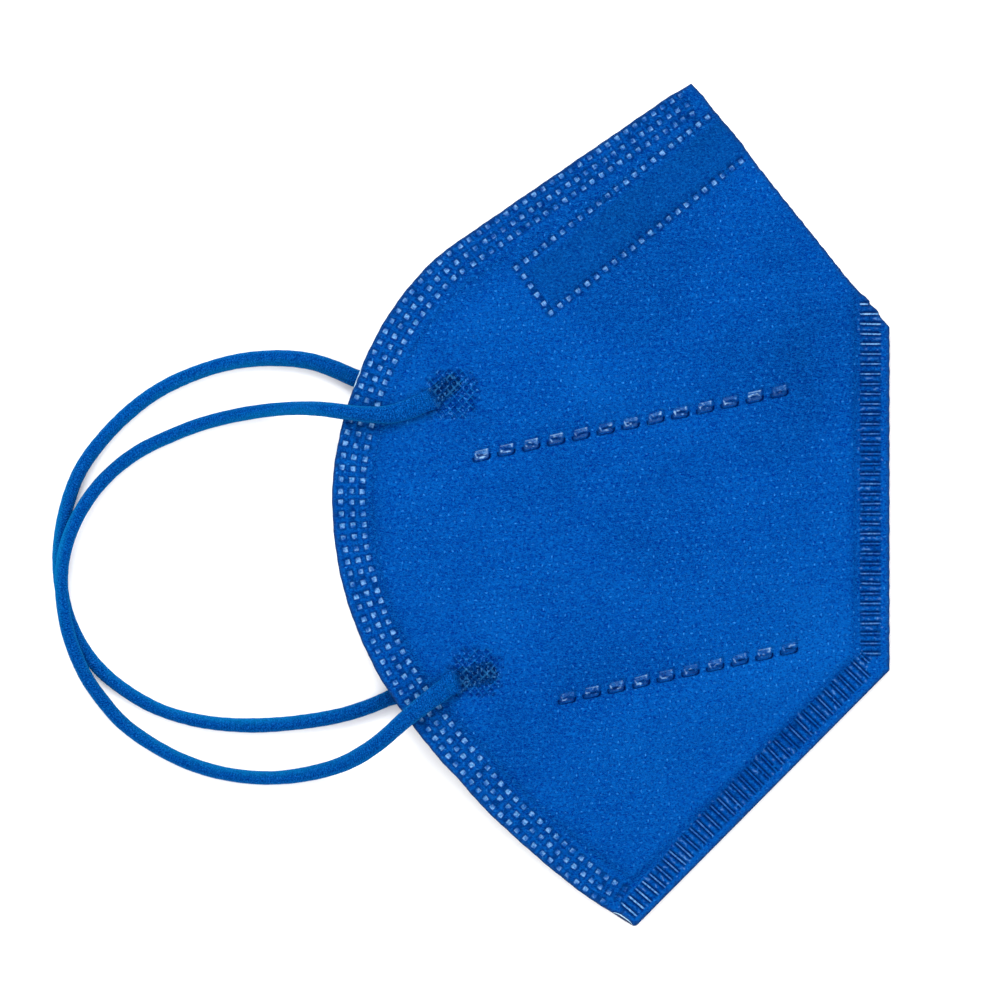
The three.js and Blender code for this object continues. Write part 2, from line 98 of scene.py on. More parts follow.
def bezier(start, pull_start, pull_end, end, steps=120):
    t = np.linspace(0, 1, steps)[:, None]
    a, b, c, d = (np.array(p, float) for p in (start, pull_start, pull_end, end))
    return (1 - t) ** 3 * a + 3 * (1 - t) ** 2 * t * b + 3 * (1 - t) * t**2 * c + t**3 * d


def through(points, spacing):
    """A smooth line through route points, as the solids' own curve runs."""
    p = np.array(points, float)
    p = np.concatenate([[2 * p[0] - p[1]], p, [2 * p[-1] - p[-2]]])
    step = np.maximum(np.linalg.norm(np.diff(p, axis=0), axis=1) ** 0.5, 1e-6)
    pieces = []
    for i in range(1, len(p) - 2):
        p0, p1, p2, p3 = p[i - 1 : i + 3]
        d0, d1, d2 = step[i - 1 : i + 2]
        m1 = ((p1 - p0) / d0 - (p2 - p0) / (d0 + d1) + (p2 - p1) / d1) * d1
        m2 = ((p2 - p1) / d1 - (p3 - p1) / (d1 + d2) + (p3 - p2) / d2) * d1
        t = np.linspace(0, 1, 24, endpoint=False)[:, None]
        pieces.append(
            p1 + m1 * t + (3 * (p2 - p1) - 2 * m1 - m2) * t**2 + (2 * (p1 - p2) + m1 + m2) * t**3
        )
    return respaced(np.concatenate([*pieces, [p[-2]]]), spacing)


def plane_tree(flat):
    """A search tree over flat points."""
    tree = kdtree.KDTree(len(flat))
    for i, (x, y) in enumerate(flat):
        tree.insert((x, y, 0), i)
    tree.balance()
    return tree


def added(name, data):
    made = bpy.data.objects.new(name, data)
    scene.collection.objects.link(made)
    return made


def mesh_piece(name, vertices, faces):
    """A smooth-shaded mesh piece from points in millimetres."""
    mesh = bpy.data.meshes.new(name)
    mesh.from_pydata((np.array(vertices) * MM).tolist(), [], faces)
    mesh.validate()
    mesh.shade_smooth()
    piece = added(name, mesh)
    return piece


def outward(piece):
    """Turns the faces of a closed piece outwards."""
    bpy.ops.object.select_all(action="DESELECT")
    piece.select_set(True)
    bpy.context.view_layer.objects.active = piece
    bpy.ops.object.mode_set(mode="EDIT")
    bpy.ops.mesh.select_all(action="SELECT")
    bpy.ops.mesh.normals_make_consistent(inside=False)
    bpy.ops.object.mode_set(mode="OBJECT")
    piece.select_set(False)


def set_attribute(mesh, name, values):
    mesh.attributes.new(name, "FLOAT", "POINT").data.foreach_set("value", values.astype(np.float32))


def points_of(piece):
    """A piece's points in millimetres."""
    co = np.zeros(len(piece.data.vertices) * 3)
    piece.data.vertices.foreach_get("co", co)
    return co.reshape(-1, 3) / MM


def stands_for(piece, node):
    """Puts a piece in the place of the solid with this name."""
    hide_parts(node)
    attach(piece, "root")


# ---- Camera ----

VIEW_WIDTH, VIEW_HEIGHT = 190.0, 7.0  # across the picture, and the height where it is this wide
VIEW_MIDDLE = (-21.19, 0.9)
CAMERA_HEIGHT = 3000.0
camera = added("camera", bpy.data.cameras.new("camera"))
camera.data.sensor_width = 36
camera.data.lens = camera.data.sensor_width * (CAMERA_HEIGHT - VIEW_HEIGHT) / VIEW_WIDTH
camera.data.clip_end = 20
camera.location = Vector((*VIEW_MIDDLE, CAMERA_HEIGHT)) * MM
scene.camera = camera


# ---- Ear loops: routes and sections ----

NEAR_ROUTE = [
    (-36, 19.2, 13.3), (-38.3, 18.2, 13.25), (-41.8, 17.2, 13), (-45.9, 17.1, 12.4),
    (-50.5, 17.6, 11.7), (-55.4, 18.2, 9.6), (-61.1, 18.3, 5.4), (-66.8, 17.8, 2.5),
    (-72.5, 16.8, 1.55), (-78.2, 15.3, 1.45), (-83.9, 13.1, 1.45), (-89.7, 10.3, 1.45),
    (-94.6, 6.7, 1.6), (-98.6, 2.4, 2.4), (-101.8, -2.8, 3.6), (-103.8, -8.1, 4.1),
    (-104.6, -13.2, 4.15), (-104.4, -18.1, 4.15), (-103.5, -23.6, 4.15), (-101.6, -29.2, 3.9),
    (-99.6, -33.3, 2.9), (-96.8, -37.3, 1.8), (-93.2, -41.4, 1.45), (-87.8, -45.4, 1.45),
    (-81.1, -48.9, 1.45), (-74, -51.1, 1.45), (-66, -52, 1.45), (-58.8, -51.4, 1.8),
    (-51.1, -49.3, 4.2), (-44.8, -45.6, 8.7), (-38.9, -40.5, 11.8), (-34.9, -37.3, 12.6),
    (-31.3, -34.6, 12.95),
]
FAR_ROUTE = [
    (-40.2, 22.2, 1.5), (-44.6, 22.8, 1.5), (-48.5, 24, 1.5), (-52.9, 25.9, 1.5),
    (-57.3, 27.3, 1.45), (-63, 27.9, 1.45), (-70.6, 27.4, 1.45), (-78.2, 25.4, 1.45),
    (-85.9, 21.9, 1.45), (-92, 17.4, 1.45), (-97.4, 11.8, 1.45), (-101.2, 6.3, 1.45),
    (-103.5, 0.3, 1.45), (-104.9, -6.7, 1.45), (-105, -13, 1.45), (-103.8, -20.3, 1.45),
    (-101.4, -25.9, 1.45), (-97.8, -30.9, 1.45), (-92.6, -35.3, 1.45), (-86, -39, 1.45),
    (-78.2, -41.2, 1.45), (-69.5, -42, 1.45), (-60.2, -41.5, 1.45), (-51.6, -40.1, 1.45),
    (-46.1, -38.4, 1.5), (-41.7, -36.6, 1.5), (-37.3, -35.2, 1.5),
]
# The cords draw out thinner between their welds: run along each, and its width there.
NEAR_GIRTH = (0, 18, 26, 60, 113, 150, 160, 168), (3.05, 2.9, 2.6, 2.6, 2.6, 2.6, 2.9, 3.15)
FAR_GIRTH = (6, 13, 24, 34, 60, 110, 125, 142, 165), (3.4, 3.3, 3.1, 2.8, 2.72, 2.6, 2.4, 2.75, 2.85)
LOOP_WIDTH, LOOP_HEIGHT = 3.0, 2.9
FLATTENED = 3.72  # width of a cord beside its weld
KNIT_GIVES = 0.15  # height that the knit gives way
NEAR_SQUASH, FAR_SQUASH = 0.5, 0.3  # share of the height that is lost beside a weld
CORD_SIDES, END_SIDES = 28, 48
PAINTED_LIGHT_PLACE, PAINTED_LIGHT_BEYOND = np.array((-130, -8, 0)), -48  # painted light on cord left of this x


def swept(name, centres, widths, heights, sides, top_sink=None):
    """A closed tube along a line. Its section is an ellipse that lies flat, and its UV map holds
    the distance along it and round it in centimetres. top_sink lowers points of its upper side."""
    centres = np.array(centres, float)
    tangent = np.gradient(centres, axis=0)
    tangent /= np.linalg.norm(tangent, axis=1)[:, None]
    side = np.cross(tangent, (0, 0, 1))
    side /= np.linalg.norm(side, axis=1)[:, None]
    up = np.cross(side, tangent)
    angle = 2 * np.pi * np.arange(sides) / sides
    across = np.cos(angle)[None, :, None] * side[:, None, :] * (np.array(widths) / 2)[:, None, None]
    raised = np.sin(angle)[None, :, None] * up[:, None, :] * (np.array(heights) / 2)[:, None, None]
    grid = centres[:, None, :] + across + raised
    if top_sink is not None:
        grid[..., 2] -= top_sink(grid) * np.clip(np.sin(angle), 0, 1)[None, :] ** 0.3
    count = len(centres)
    vertices = np.concatenate([grid.reshape(-1, 3), centres[:1], centres[-1:]])
    faces = []
    for i in range(count - 1):
        for j in range(sides):
            a, b = i * sides + j, i * sides + (j + 1) % sides
            faces.append((a, b, b + sides, a + sides))
    first, last = count * sides, count * sides + 1
    faces += [(first, (j + 1) % sides, j) for j in range(sides)]
    end = (count - 1) * sides
    faces += [(last, end + j, end + (j + 1) % sides) for j in range(sides)]
    piece = mesh_piece(name, vertices, faces)
    run, round_length = runs(centres), math.pi * LOOP_WIDTH
    layer = piece.data.uv_layers.new(name="along")
    corners = np.zeros(len(piece.data.loops), int)
    piece.data.loops.foreach_get("vertex_index", corners)
    ring = np.minimum(corners // sides, count - 1)
    turn = (corners % sides) / sides
    for polygon in piece.data.polygons:
        loops = list(polygon.loop_indices)
        if any(turn[k] > 0.7 for k in loops):
            for k in loops:
                turn[k] += 1.0 if turn[k] < 0.3 else 0.0
    uv = np.column_stack([run[ring], turn * round_length]) / 10
    layer.data.foreach_set("uv", uv.astype(np.float32).ravel())
    outward(piece)
    return piece


def paint_side_light(cord):
    """Marks how far each point of a cord is round on its sides, for painted sheen on its sides and
    painted shade at its very edge. The sides that look towards a place left of the loops are given
    painted light as well, away from the body."""
    facing = np.zeros(len(cord.data.vertices) * 3)
    cord.data.vertex_normals.foreach_get("vector", facing)
    co, facing = points_of(cord), facing.reshape(-1, 3)
    set_attribute(cord.data, "side", 1 - np.abs(facing[:, 2]) ** 0.7)
    towards = (PAINTED_LIGHT_PLACE - co) * (0.5, 1.5, 0)
    towards /= np.linalg.norm(towards, axis=1)[:, None]
    looking = np.clip((facing * towards).sum(1) / 0.8, 0, 1)
    set_attribute(cord.data, "painted_side_light", looking * np.clip((PAINTED_LIGHT_BEYOND - co[:, 0]) / 20, 0, 1))


def ear_loop(name, route, node, lowered, squash, flat_ends, girth):
    """One elastic cord. It flattens and settles on the sheet towards its two welds."""
    line = through(route, 0.4)
    run = runs(line)
    near_weld = 1 - smoothstep(np.minimum(run, run[-1] - run), *flat_ends)
    line[:, 2] -= lowered * near_weld
    wobble = sum(
        rng.uniform(0.01, 0.03) * np.sin(2 * np.pi * run / length + rng.uniform(0, 6.28))
        for length in (2.3, 5.1, 11.0, 19.0)
    )
    drawn = np.interp(run, *girth)
    line[:, 2] -= (LOOP_WIDTH - drawn) / 2
    widths = drawn + (FLATTENED - drawn) * near_weld + wobble
    heights = np.minimum(drawn, LOOP_HEIGHT) * (1 - squash * near_weld) - KNIT_GIVES - wobble
    cord = swept(name, line, widths, heights, CORD_SIDES)
    paint_side_light(cord)
    stands_for(cord, node)
    return cord, line


near_loop, near_line = ear_loop(
    "near_ear_loop", NEAR_ROUTE, "ear_loop_near",
    lowered=0.8, squash=NEAR_SQUASH, flat_ends=(2, 14), girth=NEAR_GIRTH,
)
far_loop, far_line = ear_loop(
    "far_ear_loop", FAR_ROUTE, "ear_loop_far",
    lowered=0.0, squash=FAR_SQUASH, flat_ends=(1, 7), girth=FAR_GIRTH,
)


# ---- Outline of the folded body ----

HALF_WIDTH, FRONT = 53.0, 52.95
NOSE_TIP, FRONT_TOP = np.array((15.2, 80.2)), np.array((FRONT, 33.8))
FRONT_BOTTOM, CHIN_TIP = np.array((FRONT, -31.5)), np.array((4.5, -80.4))
CREASE_ALONG, CREASE_RUN = unit(NOSE_TIP - FRONT_TOP), float(np.linalg.norm(NOSE_TIP - FRONT_TOP))
CHIN_ALONG = unit(FRONT_BOTTOM - CHIN_TIP)
CREASE_IN, CHIN_IN = left_of(CREASE_ALONG), left_of(CHIN_ALONG)
BULGE_AT = (0, 0.04, 0.12, 0.2, 0.4, 0.52, 0.66, 0.77, 0.88, 0.95, 1)  # shares of the crease
BULGE = (0, -0.08, -0.1, -0.38, -0.26, -0.22, -0.1, 0.26, 0.12, 0.22, 0)

# The cut of the face edge wanders a little about its plain curve: run along it and how far out.
CUT_AT = (0, 6, 12, 20, 36, 48, 63, 78, 98, 112, 126, 142, 158, 168, 178, 190, 203, 210, 214)
CUT_OUT = (
    0, 0.28, 0.2, 0.08, -0.07, -0.2, -0.42, -0.14, -0.05, 0.12, 0.23, 0.1, -0.25, -0.1, 0.36, 0.28,
    0.26, -0.04, 0,
)


def cut_face_edge():
    plain = respaced(
        np.concatenate([
            [NOSE_TIP],
            bezier((-31.2, 49), (-42.7, 41.3), (-HALF_WIDTH, 19), (-HALF_WIDTH, 2)),
            bezier((-HALF_WIDTH, 2), (-HALF_WIDTH, -20.5), (-42.4, -39.6), (-28.5, -52.8))[1:],
            bezier((-28.5, -52.8), (-17.4, -64.4), (-7.8, -72.5), (1.8, -78.8))[1:],
            [CHIN_TIP],
        ]),
        0.25,
    )
    along = np.gradient(plain, axis=0)
    outwards = np.column_stack([along[:, 1], -along[:, 0]]) / np.linalg.norm(along, axis=1)[:, None]
    return plain + outwards * eased(runs(plain), CUT_AT, CUT_OUT)[:, None]


face_line = cut_face_edge()
face_runs = runs(face_line)
face_tree = plane_tree(face_line)


def face_edge(flat):
    """How far each point is along the face edge from the nose tip, and how far in from it."""
    nearest = np.array([face_tree.find((x, y, 0))[1] for x, y in flat])
    along, inset = np.zeros(len(flat)), np.full(len(flat), np.inf)
    for shift in (-1, 0):
        start = np.clip(nearest + shift, 0, len(face_line) - 2)
        a, b = face_line[start], face_line[start + 1]
        length = np.linalg.norm(b - a, axis=1)
        t = np.clip(((flat - a) * (b - a)).sum(1) / length**2, 0, 1)
        gap = flat - (a + (b - a) * t[:, None])
        turned = (b - a)[:, 0] * gap[:, 1] - (b - a)[:, 1] * gap[:, 0]
        distance = np.linalg.norm(gap, axis=1) * np.where(turned < 0, -1, 1)
        closer = np.abs(distance) < np.abs(inset)
        inset = np.where(closer, distance, inset)
        along = np.where(closer, face_runs[start] + t * length, along)
    return along, inset


def face_point(run, inset=0.0):
    """A point at this run along the face edge and this far in from it, and the edge's direction."""
    here, ahead, behind = (
        np.array([np.interp(run + shift, face_runs, column) for column in face_line.T])
        for shift in (0, 0.6, -0.6)
    )
    along = unit(ahead - behind)
    return here + inset * left_of(along), along


def crease_bulge(share):
    """How far the nose crease stands out from a straight line. The first two bars of the front
    seam pinch it, and it is a little uneven all along."""
    run = share * CREASE_RUN
    total = eased(share, BULGE_AT, BULGE)
    for start in (3.3, 5.9):
        total = total + 0.36 * between(run, (start, start + 0.4), (start + 0.3, start + 2.5))
    uneven = 0.035 * np.sin(2.7 * run) + 0.03 * np.sin(1.7 * run + 1) + 0.02 * np.sin(4.1 * run + 2)
    return total + uneven * between(run, (0, 3), (CREASE_RUN - 3, CREASE_RUN))


def crease_point(share, inset=0.0):
    bulge = crease_bulge(np.atleast_1d(share))[0]
    return FRONT_TOP + CREASE_ALONG * CREASE_RUN * share + CREASE_IN * (inset - bulge)


def front_edge(y):
    """The front edge's x, a little uneven between its two corners."""
    uneven = 0.03 * np.sin(2.3 * y) + 0.025 * np.sin(1.3 * y + 1)
    return FRONT + uneven * between(y, (FRONT_BOTTOM[1], FRONT_BOTTOM[1] + 3), (31, FRONT_TOP[1]))


class Places:
    """Flat points on the folded body, with their distances from its edges."""

    def __init__(self, flat):
        self.flat = np.asarray(flat, float)
        self.x, self.y = self.flat.T
        self.along, self.face = face_edge(self.flat)
        self.front = front_edge(self.y) - self.x
        self.chin = (self.flat - CHIN_TIP) @ CHIN_IN
        share = (self.flat - FRONT_TOP) @ CREASE_ALONG / CREASE_RUN
        self.crease = (self.flat - FRONT_TOP) @ CREASE_IN + crease_bulge(share)
        self.seam = np.minimum(self.front, self.chin)
        # How far in from the welds and the crease, with rounded corners.
        parts = (self.front - SEAM_WIDTH, self.chin - SEAM_WIDTH, self.crease)
        self.soft = sum(np.maximum(d, 0.01) ** -4.0 for d in parts) ** -0.25

    def spot(self, x, y, reach):
        """1 at this place, fading out round it."""
        return np.exp(-((self.x - x) ** 2 + (self.y - y) ** 2) / reach**2)


# ---- Surfaces of the folded sheet, as the solid has them ----

SHEET, BORDER_SHEET, SEAM_SHEET = 1.3, 1.0, 0.8
SEAM_HEIGHT, SEAM_WIDTH, BORDER_WIDTH = 1.3, 5.9, 7.2
FOLD_GAP, FOLD_RADIUS, CREASE_WALL = 0.9, 1.9, 1.4
OPENING, OPENING_REACH = 8.5, 50
EDGE_CLOSING, EDGE_CLOSING_REACH = 0.6, 14
EDGE_LIFT, EDGE_LIFT_FROM, EDGE_LIFT_TO = 3.35, 9, 32
DENTS = [
    (33, 30, 15, -0.9), (-33, 33, 12, 0.4), (-28, 2, 18, 0.7), (-2, -38, 12, -0.6), (8, 26, 12, 0.5),
]


def sheet_thickness(at):
    mix = smoothstep(at.face, BORDER_WIDTH - 1, BORDER_WIDTH + 1)
    border = BORDER_SHEET + (SHEET - BORDER_SHEET) * mix
    return SEAM_SHEET + (border - SEAM_SHEET) * smoothstep(at.seam, SEAM_WIDTH - 0.5, SEAM_WIDTH + 1.5)


def held_up(at):
    seam = (SEAM_HEIGHT - SEAM_SHEET) * (1 - smoothstep(at.seam, SEAM_WIDTH, SEAM_WIDTH + 9))
    return np.maximum(seam, 0.9 * (1 - smoothstep(at.crease, 3, 15)))


def far_outer(at):
    spread = between(at.y, (-78, -44), (32, 78))
    lift = EDGE_LIFT * spread * (1 - smoothstep(at.face, EDGE_LIFT_FROM, EDGE_LIFT_TO))
    return np.maximum(held_up(at), lift)


def hollow_height(at):
    opened = np.sin(np.pi / 2 * np.clip(at.soft / OPENING_REACH, 0, 1))
    closing = EDGE_CLOSING * (1 - smoothstep(at.face, 0, EDGE_CLOSING_REACH))
    dents = sum(height * at.spot(x, y, reach) for x, y, reach, height in DENTS)
    fold = FOLD_GAP * (1 - smoothstep(at.crease, 2, 12)) * smoothstep(at.seam, SEAM_WIDTH, 12)
    return np.maximum(0, opened * (OPENING - closing + dents) + fold)


def far_inner(at):
    return far_outer(at) + sheet_thickness(at)


def near_inner(at):
    resting = held_up(at) + sheet_thickness(at) + hollow_height(at)
    return np.maximum(far_inner(at) + 0.02, resting)


def outer_heights(at):
    """Heights of the near and the far outer surface, drawn together round the nose crease."""
    low, high = far_outer(at), near_inner(at) + sheet_thickness(at)
    reach = np.clip((np.maximum(0, at.crease) + 0.12) / FOLD_RADIUS, 0, 1)
    pressed = 1 - smoothstep(at.seam, 3, SEAM_WIDTH + 1)
    swell = np.sqrt(1 - (1 - np.maximum(reach, pressed)) ** 2)
    middle = (low + high) / 2
    return middle + (high - middle) * swell, middle - (middle - low) * swell


# ---- Soft relief of the cloth ----

DASH_ROWS = [  # start, end, number and brightness
    ((-24.7, 9.55), (31.9, 21.7), 13, 0.73), ((-8.45, -36.5), (33.75, -27.2), 10, 0.58),
]
POCKET_UPPER = ((-18.0, 45.0), (18.3, 73.6))
POCKET_LOWER = ((-11.5, 36.4), (24.6, 65.35))
POCKET_END = (POCKET_UPPER[0], POCKET_LOWER[0])
POCKET_LINES = (POCKET_UPPER, POCKET_LOWER, POCKET_END)
WELD_SPOTS = [(-30.3, 20.9), (-25.7, -32.1)]
slack_waves = [
    (*(2 * np.pi / length * np.array((math.cos(turn), math.sin(turn)))), size, rng.uniform(0, 6.28))
    for length, size in ((31, 0.16), (23, 0.13), (17, 0.1), (13, 0.07), (10.5, 0.05), (8, 0.035))
    for turn in rng.uniform(0, np.pi, 2)
]


def line_distance(at, start, end):
    """Distance from a straight line between two points."""
    start, end = np.array(start, float), np.array(end, float)
    t = np.clip((at.flat - start) @ (end - start) / ((end - start) @ (end - start)), 0, 1)
    return np.linalg.norm(at.flat - start - t[:, None] * (end - start), axis=1)


def pocket_share(at, beyond=0.0):
    """1 over the pocket that holds the nose clip, 0 outside it, easing over about a millimetre."""
    (a, b), (c, _) = np.array(POCKET_UPPER), np.array(POCKET_LOWER)
    along = unit(b - a)
    across = -left_of(along)
    depth, width = (at.flat - a) @ across, (c - a) @ across
    end = (at.flat - (a + c) / 2) @ along
    inside = smoothstep(depth + beyond, 0.6, 1.9)
    inside *= 1 - smoothstep(depth - beyond, width - 1.9, width - 0.6)
    return inside * smoothstep(end + beyond, 0.6, 2.0)


def soft_relief(at):
    """Slack, quilting and puffed edges of one half, added outwards to the solid's own surface."""
    loose = smoothstep(at.soft, 1, 12) * smoothstep(at.face, 6, 12) * (1 - 0.85 * pocket_share(at, 2.5))
    slack = sum(size * np.sin(kx * at.x + ky * at.y + turn) for kx, ky, size, turn in slack_waves)
    total = slack * loose
    for start, end, *_ in DASH_ROWS:
        total -= 0.6 * bell(line_distance(at, start, end), 0, 3.2)
    total -= 0.3 * bell(at.face, 7.7, 0.9) * smoothstep(at.seam, 6, 9)
    total -= 0.2 * bell(at.seam, 6.6, 0.7)
    for x, y in WELD_SPOTS:
        total -= 0.55 * at.spot(x, y, 6.0)
    total += 0.35 * pocket_share(at)
    for line in POCKET_LINES:
        total -= 0.14 * bell(line_distance(at, *line), 0, 0.9)
    return total


LIGHT_PATCHES = [  # x, y, reach and strength of painted light (+) and painted shade (-) on the cloth's undulations
    (24, 56, 9, 0.3), (-19, 37, 7, 0.35), (-4, 24, 9, 0.4), (14, 12, 9, 0.35), (41, -22, 8, 0.3),
    (26, -33, 9, 0.35), (-4, -14, 9, 0.3), (-39, 23, 5, 0.35), (-42, 10, 7, 0.3),
    (-39, -18, 8, 0.2), (36, 26, 9, -0.4), (30, 10, 8, -0.3), (-2, -33, 7, -0.35),
    (9, -31, 7, -0.3), (-10, 14, 6, -0.2), (5, 16, 6, -0.15), (5, -9, 7, -0.25),
    (-14, -20, 8, -0.25), (-21, -45, 8, -0.3), (13, 54, 8, -0.25), (-36, -37, 6, -0.3),
    (-37, 26, 9, 0.35), (-24, 30, 9, 0.25), (-48, 12, 6, 0.3), (-51, -8, 6, 0.25), (-23, -20, 6, 0.3),
    (8, 38, 9, -0.3), (31, 27, 11, -0.2), (8, -3, 12, -0.3), (-4, -32, 9, -0.25), (-15, -41, 9, -0.2),
    (43, -30, 9, 0.4), (30, -27, 10, 0.2), (49, 6, 7, 0.3), (2, 50, 7, -0.2), (30, 66, 6, 0.25),
    (-4, -60, 9, -0.25), (12, 62, 6, 0.2), (20, -50, 9, 0.1), (3, 60, 7, -0.15),
]


def painted_shading(at):
    """How much painted light (+) or painted shade (-) the cloth gets, for how its undulations catch
    the light, with painted shade in the soft grooves inside the border, along the seams and on the
    pocket's upper line. It is also lighter just inside the edges, and darker towards the top, which
    evens out the key light.
    """
    # Painted light and shade where the undulations face towards or away from the light.
    total = sum(value * at.spot(x, y, reach) for x, y, reach, value in LIGHT_PATCHES)
    inner = smoothstep(at.seam, 6, 9)
    # Painted shade in the soft grooves inside the border band and along the seams.
    total -= 0.8 * bell(at.face, 7.5, 0.55) * inner
    total -= 0.35 * between(at.face, (6, 7.5), (8, 12)) * inner
    total -= 0.6 * bell(at.seam, 6.6, 0.6)
    total += 0.3 * (1 - smoothstep(np.minimum(at.face, at.seam), 0.3, 1.0))
    # Painted shade along the inner side of the pocket's upper line.
    total -= 0.32 * pocket_share(at) * bell(line_distance(at, *POCKET_UPPER), 2.7, 1.5)
    # Darker towards the top: painted shade that evens out the key light from that side.
    return np.clip(total - 0.006 * at.y, -1, 1)


# ---- Weld marks ----
# Each mark is a small stencil of points. A row holds the place along and across the mark, the sink
# below the cloth in millimetres, and then these masks: film is melted and shiny, the wall shade is
# painted shade on steep sides and in folds, with some real darkening of squeezed fibres, press is
# cloth squeezed hard, the film highlight is a painted highlight where creased film catches the
# light, and ridge is a thin raised line of a knurled patch.

MASKS = ("film", "wall_shade", "press", "film_highlight", "ridge")
marks = []


def add_mark(middle, along, stencil):
    flat = np.array(middle) + stencil[:, :1] * along + stencil[:, 1:2] * left_of(along)
    marks.append(np.column_stack([flat, stencil[:, 2:]]))


def square_stencil(sink, bright):
    """A dished square of film, with one side or corner of it painted lighter, as if lit more than the
    rest, and painted shade on its steep side.
    """
    turn = rng.uniform(0, 2 * np.pi)
    lit_x, lit_y = math.cos(turn), math.sin(turn)
    rows = [(0, 0, sink, bright * rng.uniform(0.4, 0.95), 0, 0, 0, 0)]
    # The outer rings carry painted shade on the dish's steep side.
    for half, share, film, wall_shade in (
        (0.2, 1, 0.8, 0), (0.38, 0.92, 0.9, 0), (0.53, 0.6, 0.25, 0.5), (0.66, 0.15, 0, 0.6),
        (0.92, 0, 0, 0),
    ):
        for x in (-half, 0, half):
            for y in (-half, 0, half):
                if x or y:
                    corner = 0.92 if x and y else 1.0
                    # Painted light on one side or corner of the film.
                    lit = 0.85 + 0.5 * (x * lit_x + y * lit_y) / 0.5
                    glow = film * bright * max(0, lit + rng.uniform(-0.2, 0.2))
                    rows.append((x * corner, y * corner, share * sink, glow, wall_shade, 0, 0, 0))
    return np.array(rows)


def bar_stencil(length, sink, bright):
    """A narrow groove with a bright broken line of film along its bottom."""
    rows = []
    half = length / 2
    ends = [(half + 0.4, 0), (half + 0.05, 0.8), (half * 0.72, 1), (half * 0.43, 1), (half * 0.14, 1)]
    for x, end in [(-x, end) for x, end in ends] + ends[::-1]:
        glow = bright * rng.uniform(0.65, 1.15)
        # Painted shade on the groove's sides.
        for y, share, film, wall_shade in (
            (-0.8, 0, 0, 0), (-0.5, 0.2, 0, 0.6), (-0.26, 0.9, 0, 1.1), (-0.07, 0.9, 1, 0),
            (0.07, 0.9, 1, 0), (0.26, 0.9, 0, 1.1), (0.52, 0.2, 0, 0.7), (0.8, 0, 0, 0),
        ):
            fleck = rng.uniform(-0.5, 0.5) if abs(y) > 0.7 else 0
            # A painted highlight on the brightest film.
            film_highlight = max(0, film * end * (glow - 0.6) * 1.2)
            rows.append((
                x, y, share * end * sink, max(film * end * glow, fleck), wall_shade * end, 0, film_highlight, 0,
            ))
    return np.array(rows)


DASH_HALF_LENGTH, DASH_HALF_WIDTH, DASH_SLANT = 1.42, 0.98, 0.22


def dash_stencil(sink, bright):
    """A slanted pit of creased film, in painted light and shade: a flap at its top painted lighter,
    painted shade in the fold under it, and painted highlights on creases at random. A painted shadow
    lies along its steep side, darkest at the bottom and the right."""
    fold_x, fold_y, lean = rng.uniform(-0.1, 0.3), rng.uniform(-0.3, 0.05), rng.uniform(-0.35, 0.15)
    fold_deep, arch = rng.uniform(0.5, 1.2), rng.uniform(-0.1, 0.35)
    left, corner, top = rng.uniform(0.5, 1.2), rng.uniform(0.3, 1.0), rng.uniform(0.1, 0.8)
    streaks = [  # painted highlights on creases: middle, direction, half length, half width and strength
        (rng.uniform(-0.6, 0.6), rng.uniform(-0.65, 0.5), rng.normal(0.0, 0.5), rng.uniform(0.2, 0.5),
         rng.uniform(0.09, 0.15), rng.uniform(0.3, 1.0))
        for _ in range(5)
    ]
    rows = []
    for x in np.linspace(-2.0, 2.0, 20):
        for y in np.linspace(-1.6, 1.6, 16):
            u, v = (x - DASH_SLANT * y) / DASH_HALF_LENGTH, y / DASH_HALF_WIDTH
            edge = (abs(u) ** 6 + abs(v) ** 6) ** (1 / 6)
            inside = 1 - smoothstep(edge, 0.88, 1.06)
            below = v - fold_y - lean * (u - fold_x) + arch * (u - fold_x) ** 2
            # The flap is painted lighter, as if it faces the light.
            flap = smoothstep(below, 0.0, 0.35) * (0.8 + 0.2 * u) * rng.uniform(0.6, 1.1)
            # Painted shade in the fold, which is also sunk deeper.
            fold = fold_deep * bell(u, fold_x, 0.7, 4) * bell(below, -0.02, 0.19)
            crease = left * bell(u + 0.3 * v, -0.74, 0.12) * bell(v, -0.05, 0.5, 4)
            crease += corner * bell(u, 0.74, 0.15) * bell(v, 0.45, 0.45)
            crease += top * bell(v, 0.74, 0.12) * (abs(u) < 0.85)
            for middle_u, middle_v, turn, half, thin, strength in streaks:
                along = (u - middle_u) * math.cos(turn) + (v - middle_v) * math.sin(turn)
                across = (v - middle_v) * math.cos(turn) - (u - middle_u) * math.sin(turn)
                crease += strength * bell(along, 0, half, 4) * bell(across, 0, thin)
            share = inside * (0.55 - 0.25 * v + 0.4 * fold - 0.25 * crease)
            # A painted shadow along the steep side, strongest below and at the right, and painted shade
            # inside the pit away from the flap and the creases.
            side = bell(edge, 1.15, 0.14) * (0.22 + 1.0 * (v < -0.2) + 0.35 * (u > 0.6))
            dark = max(side, 1.1 * inside * fold, 0.6 * inside * (1 - flap) * (1 - crease))
            rows.append((
                x, y, share * sink, inside * bright * max(0.66 * flap, 0.4) * (1 - fold), dark, 0,
                inside * bright * min(crease, 1.05) * (1 - 0.7 * min(fold, 1)), 0,
            ))
    return np.array(rows)


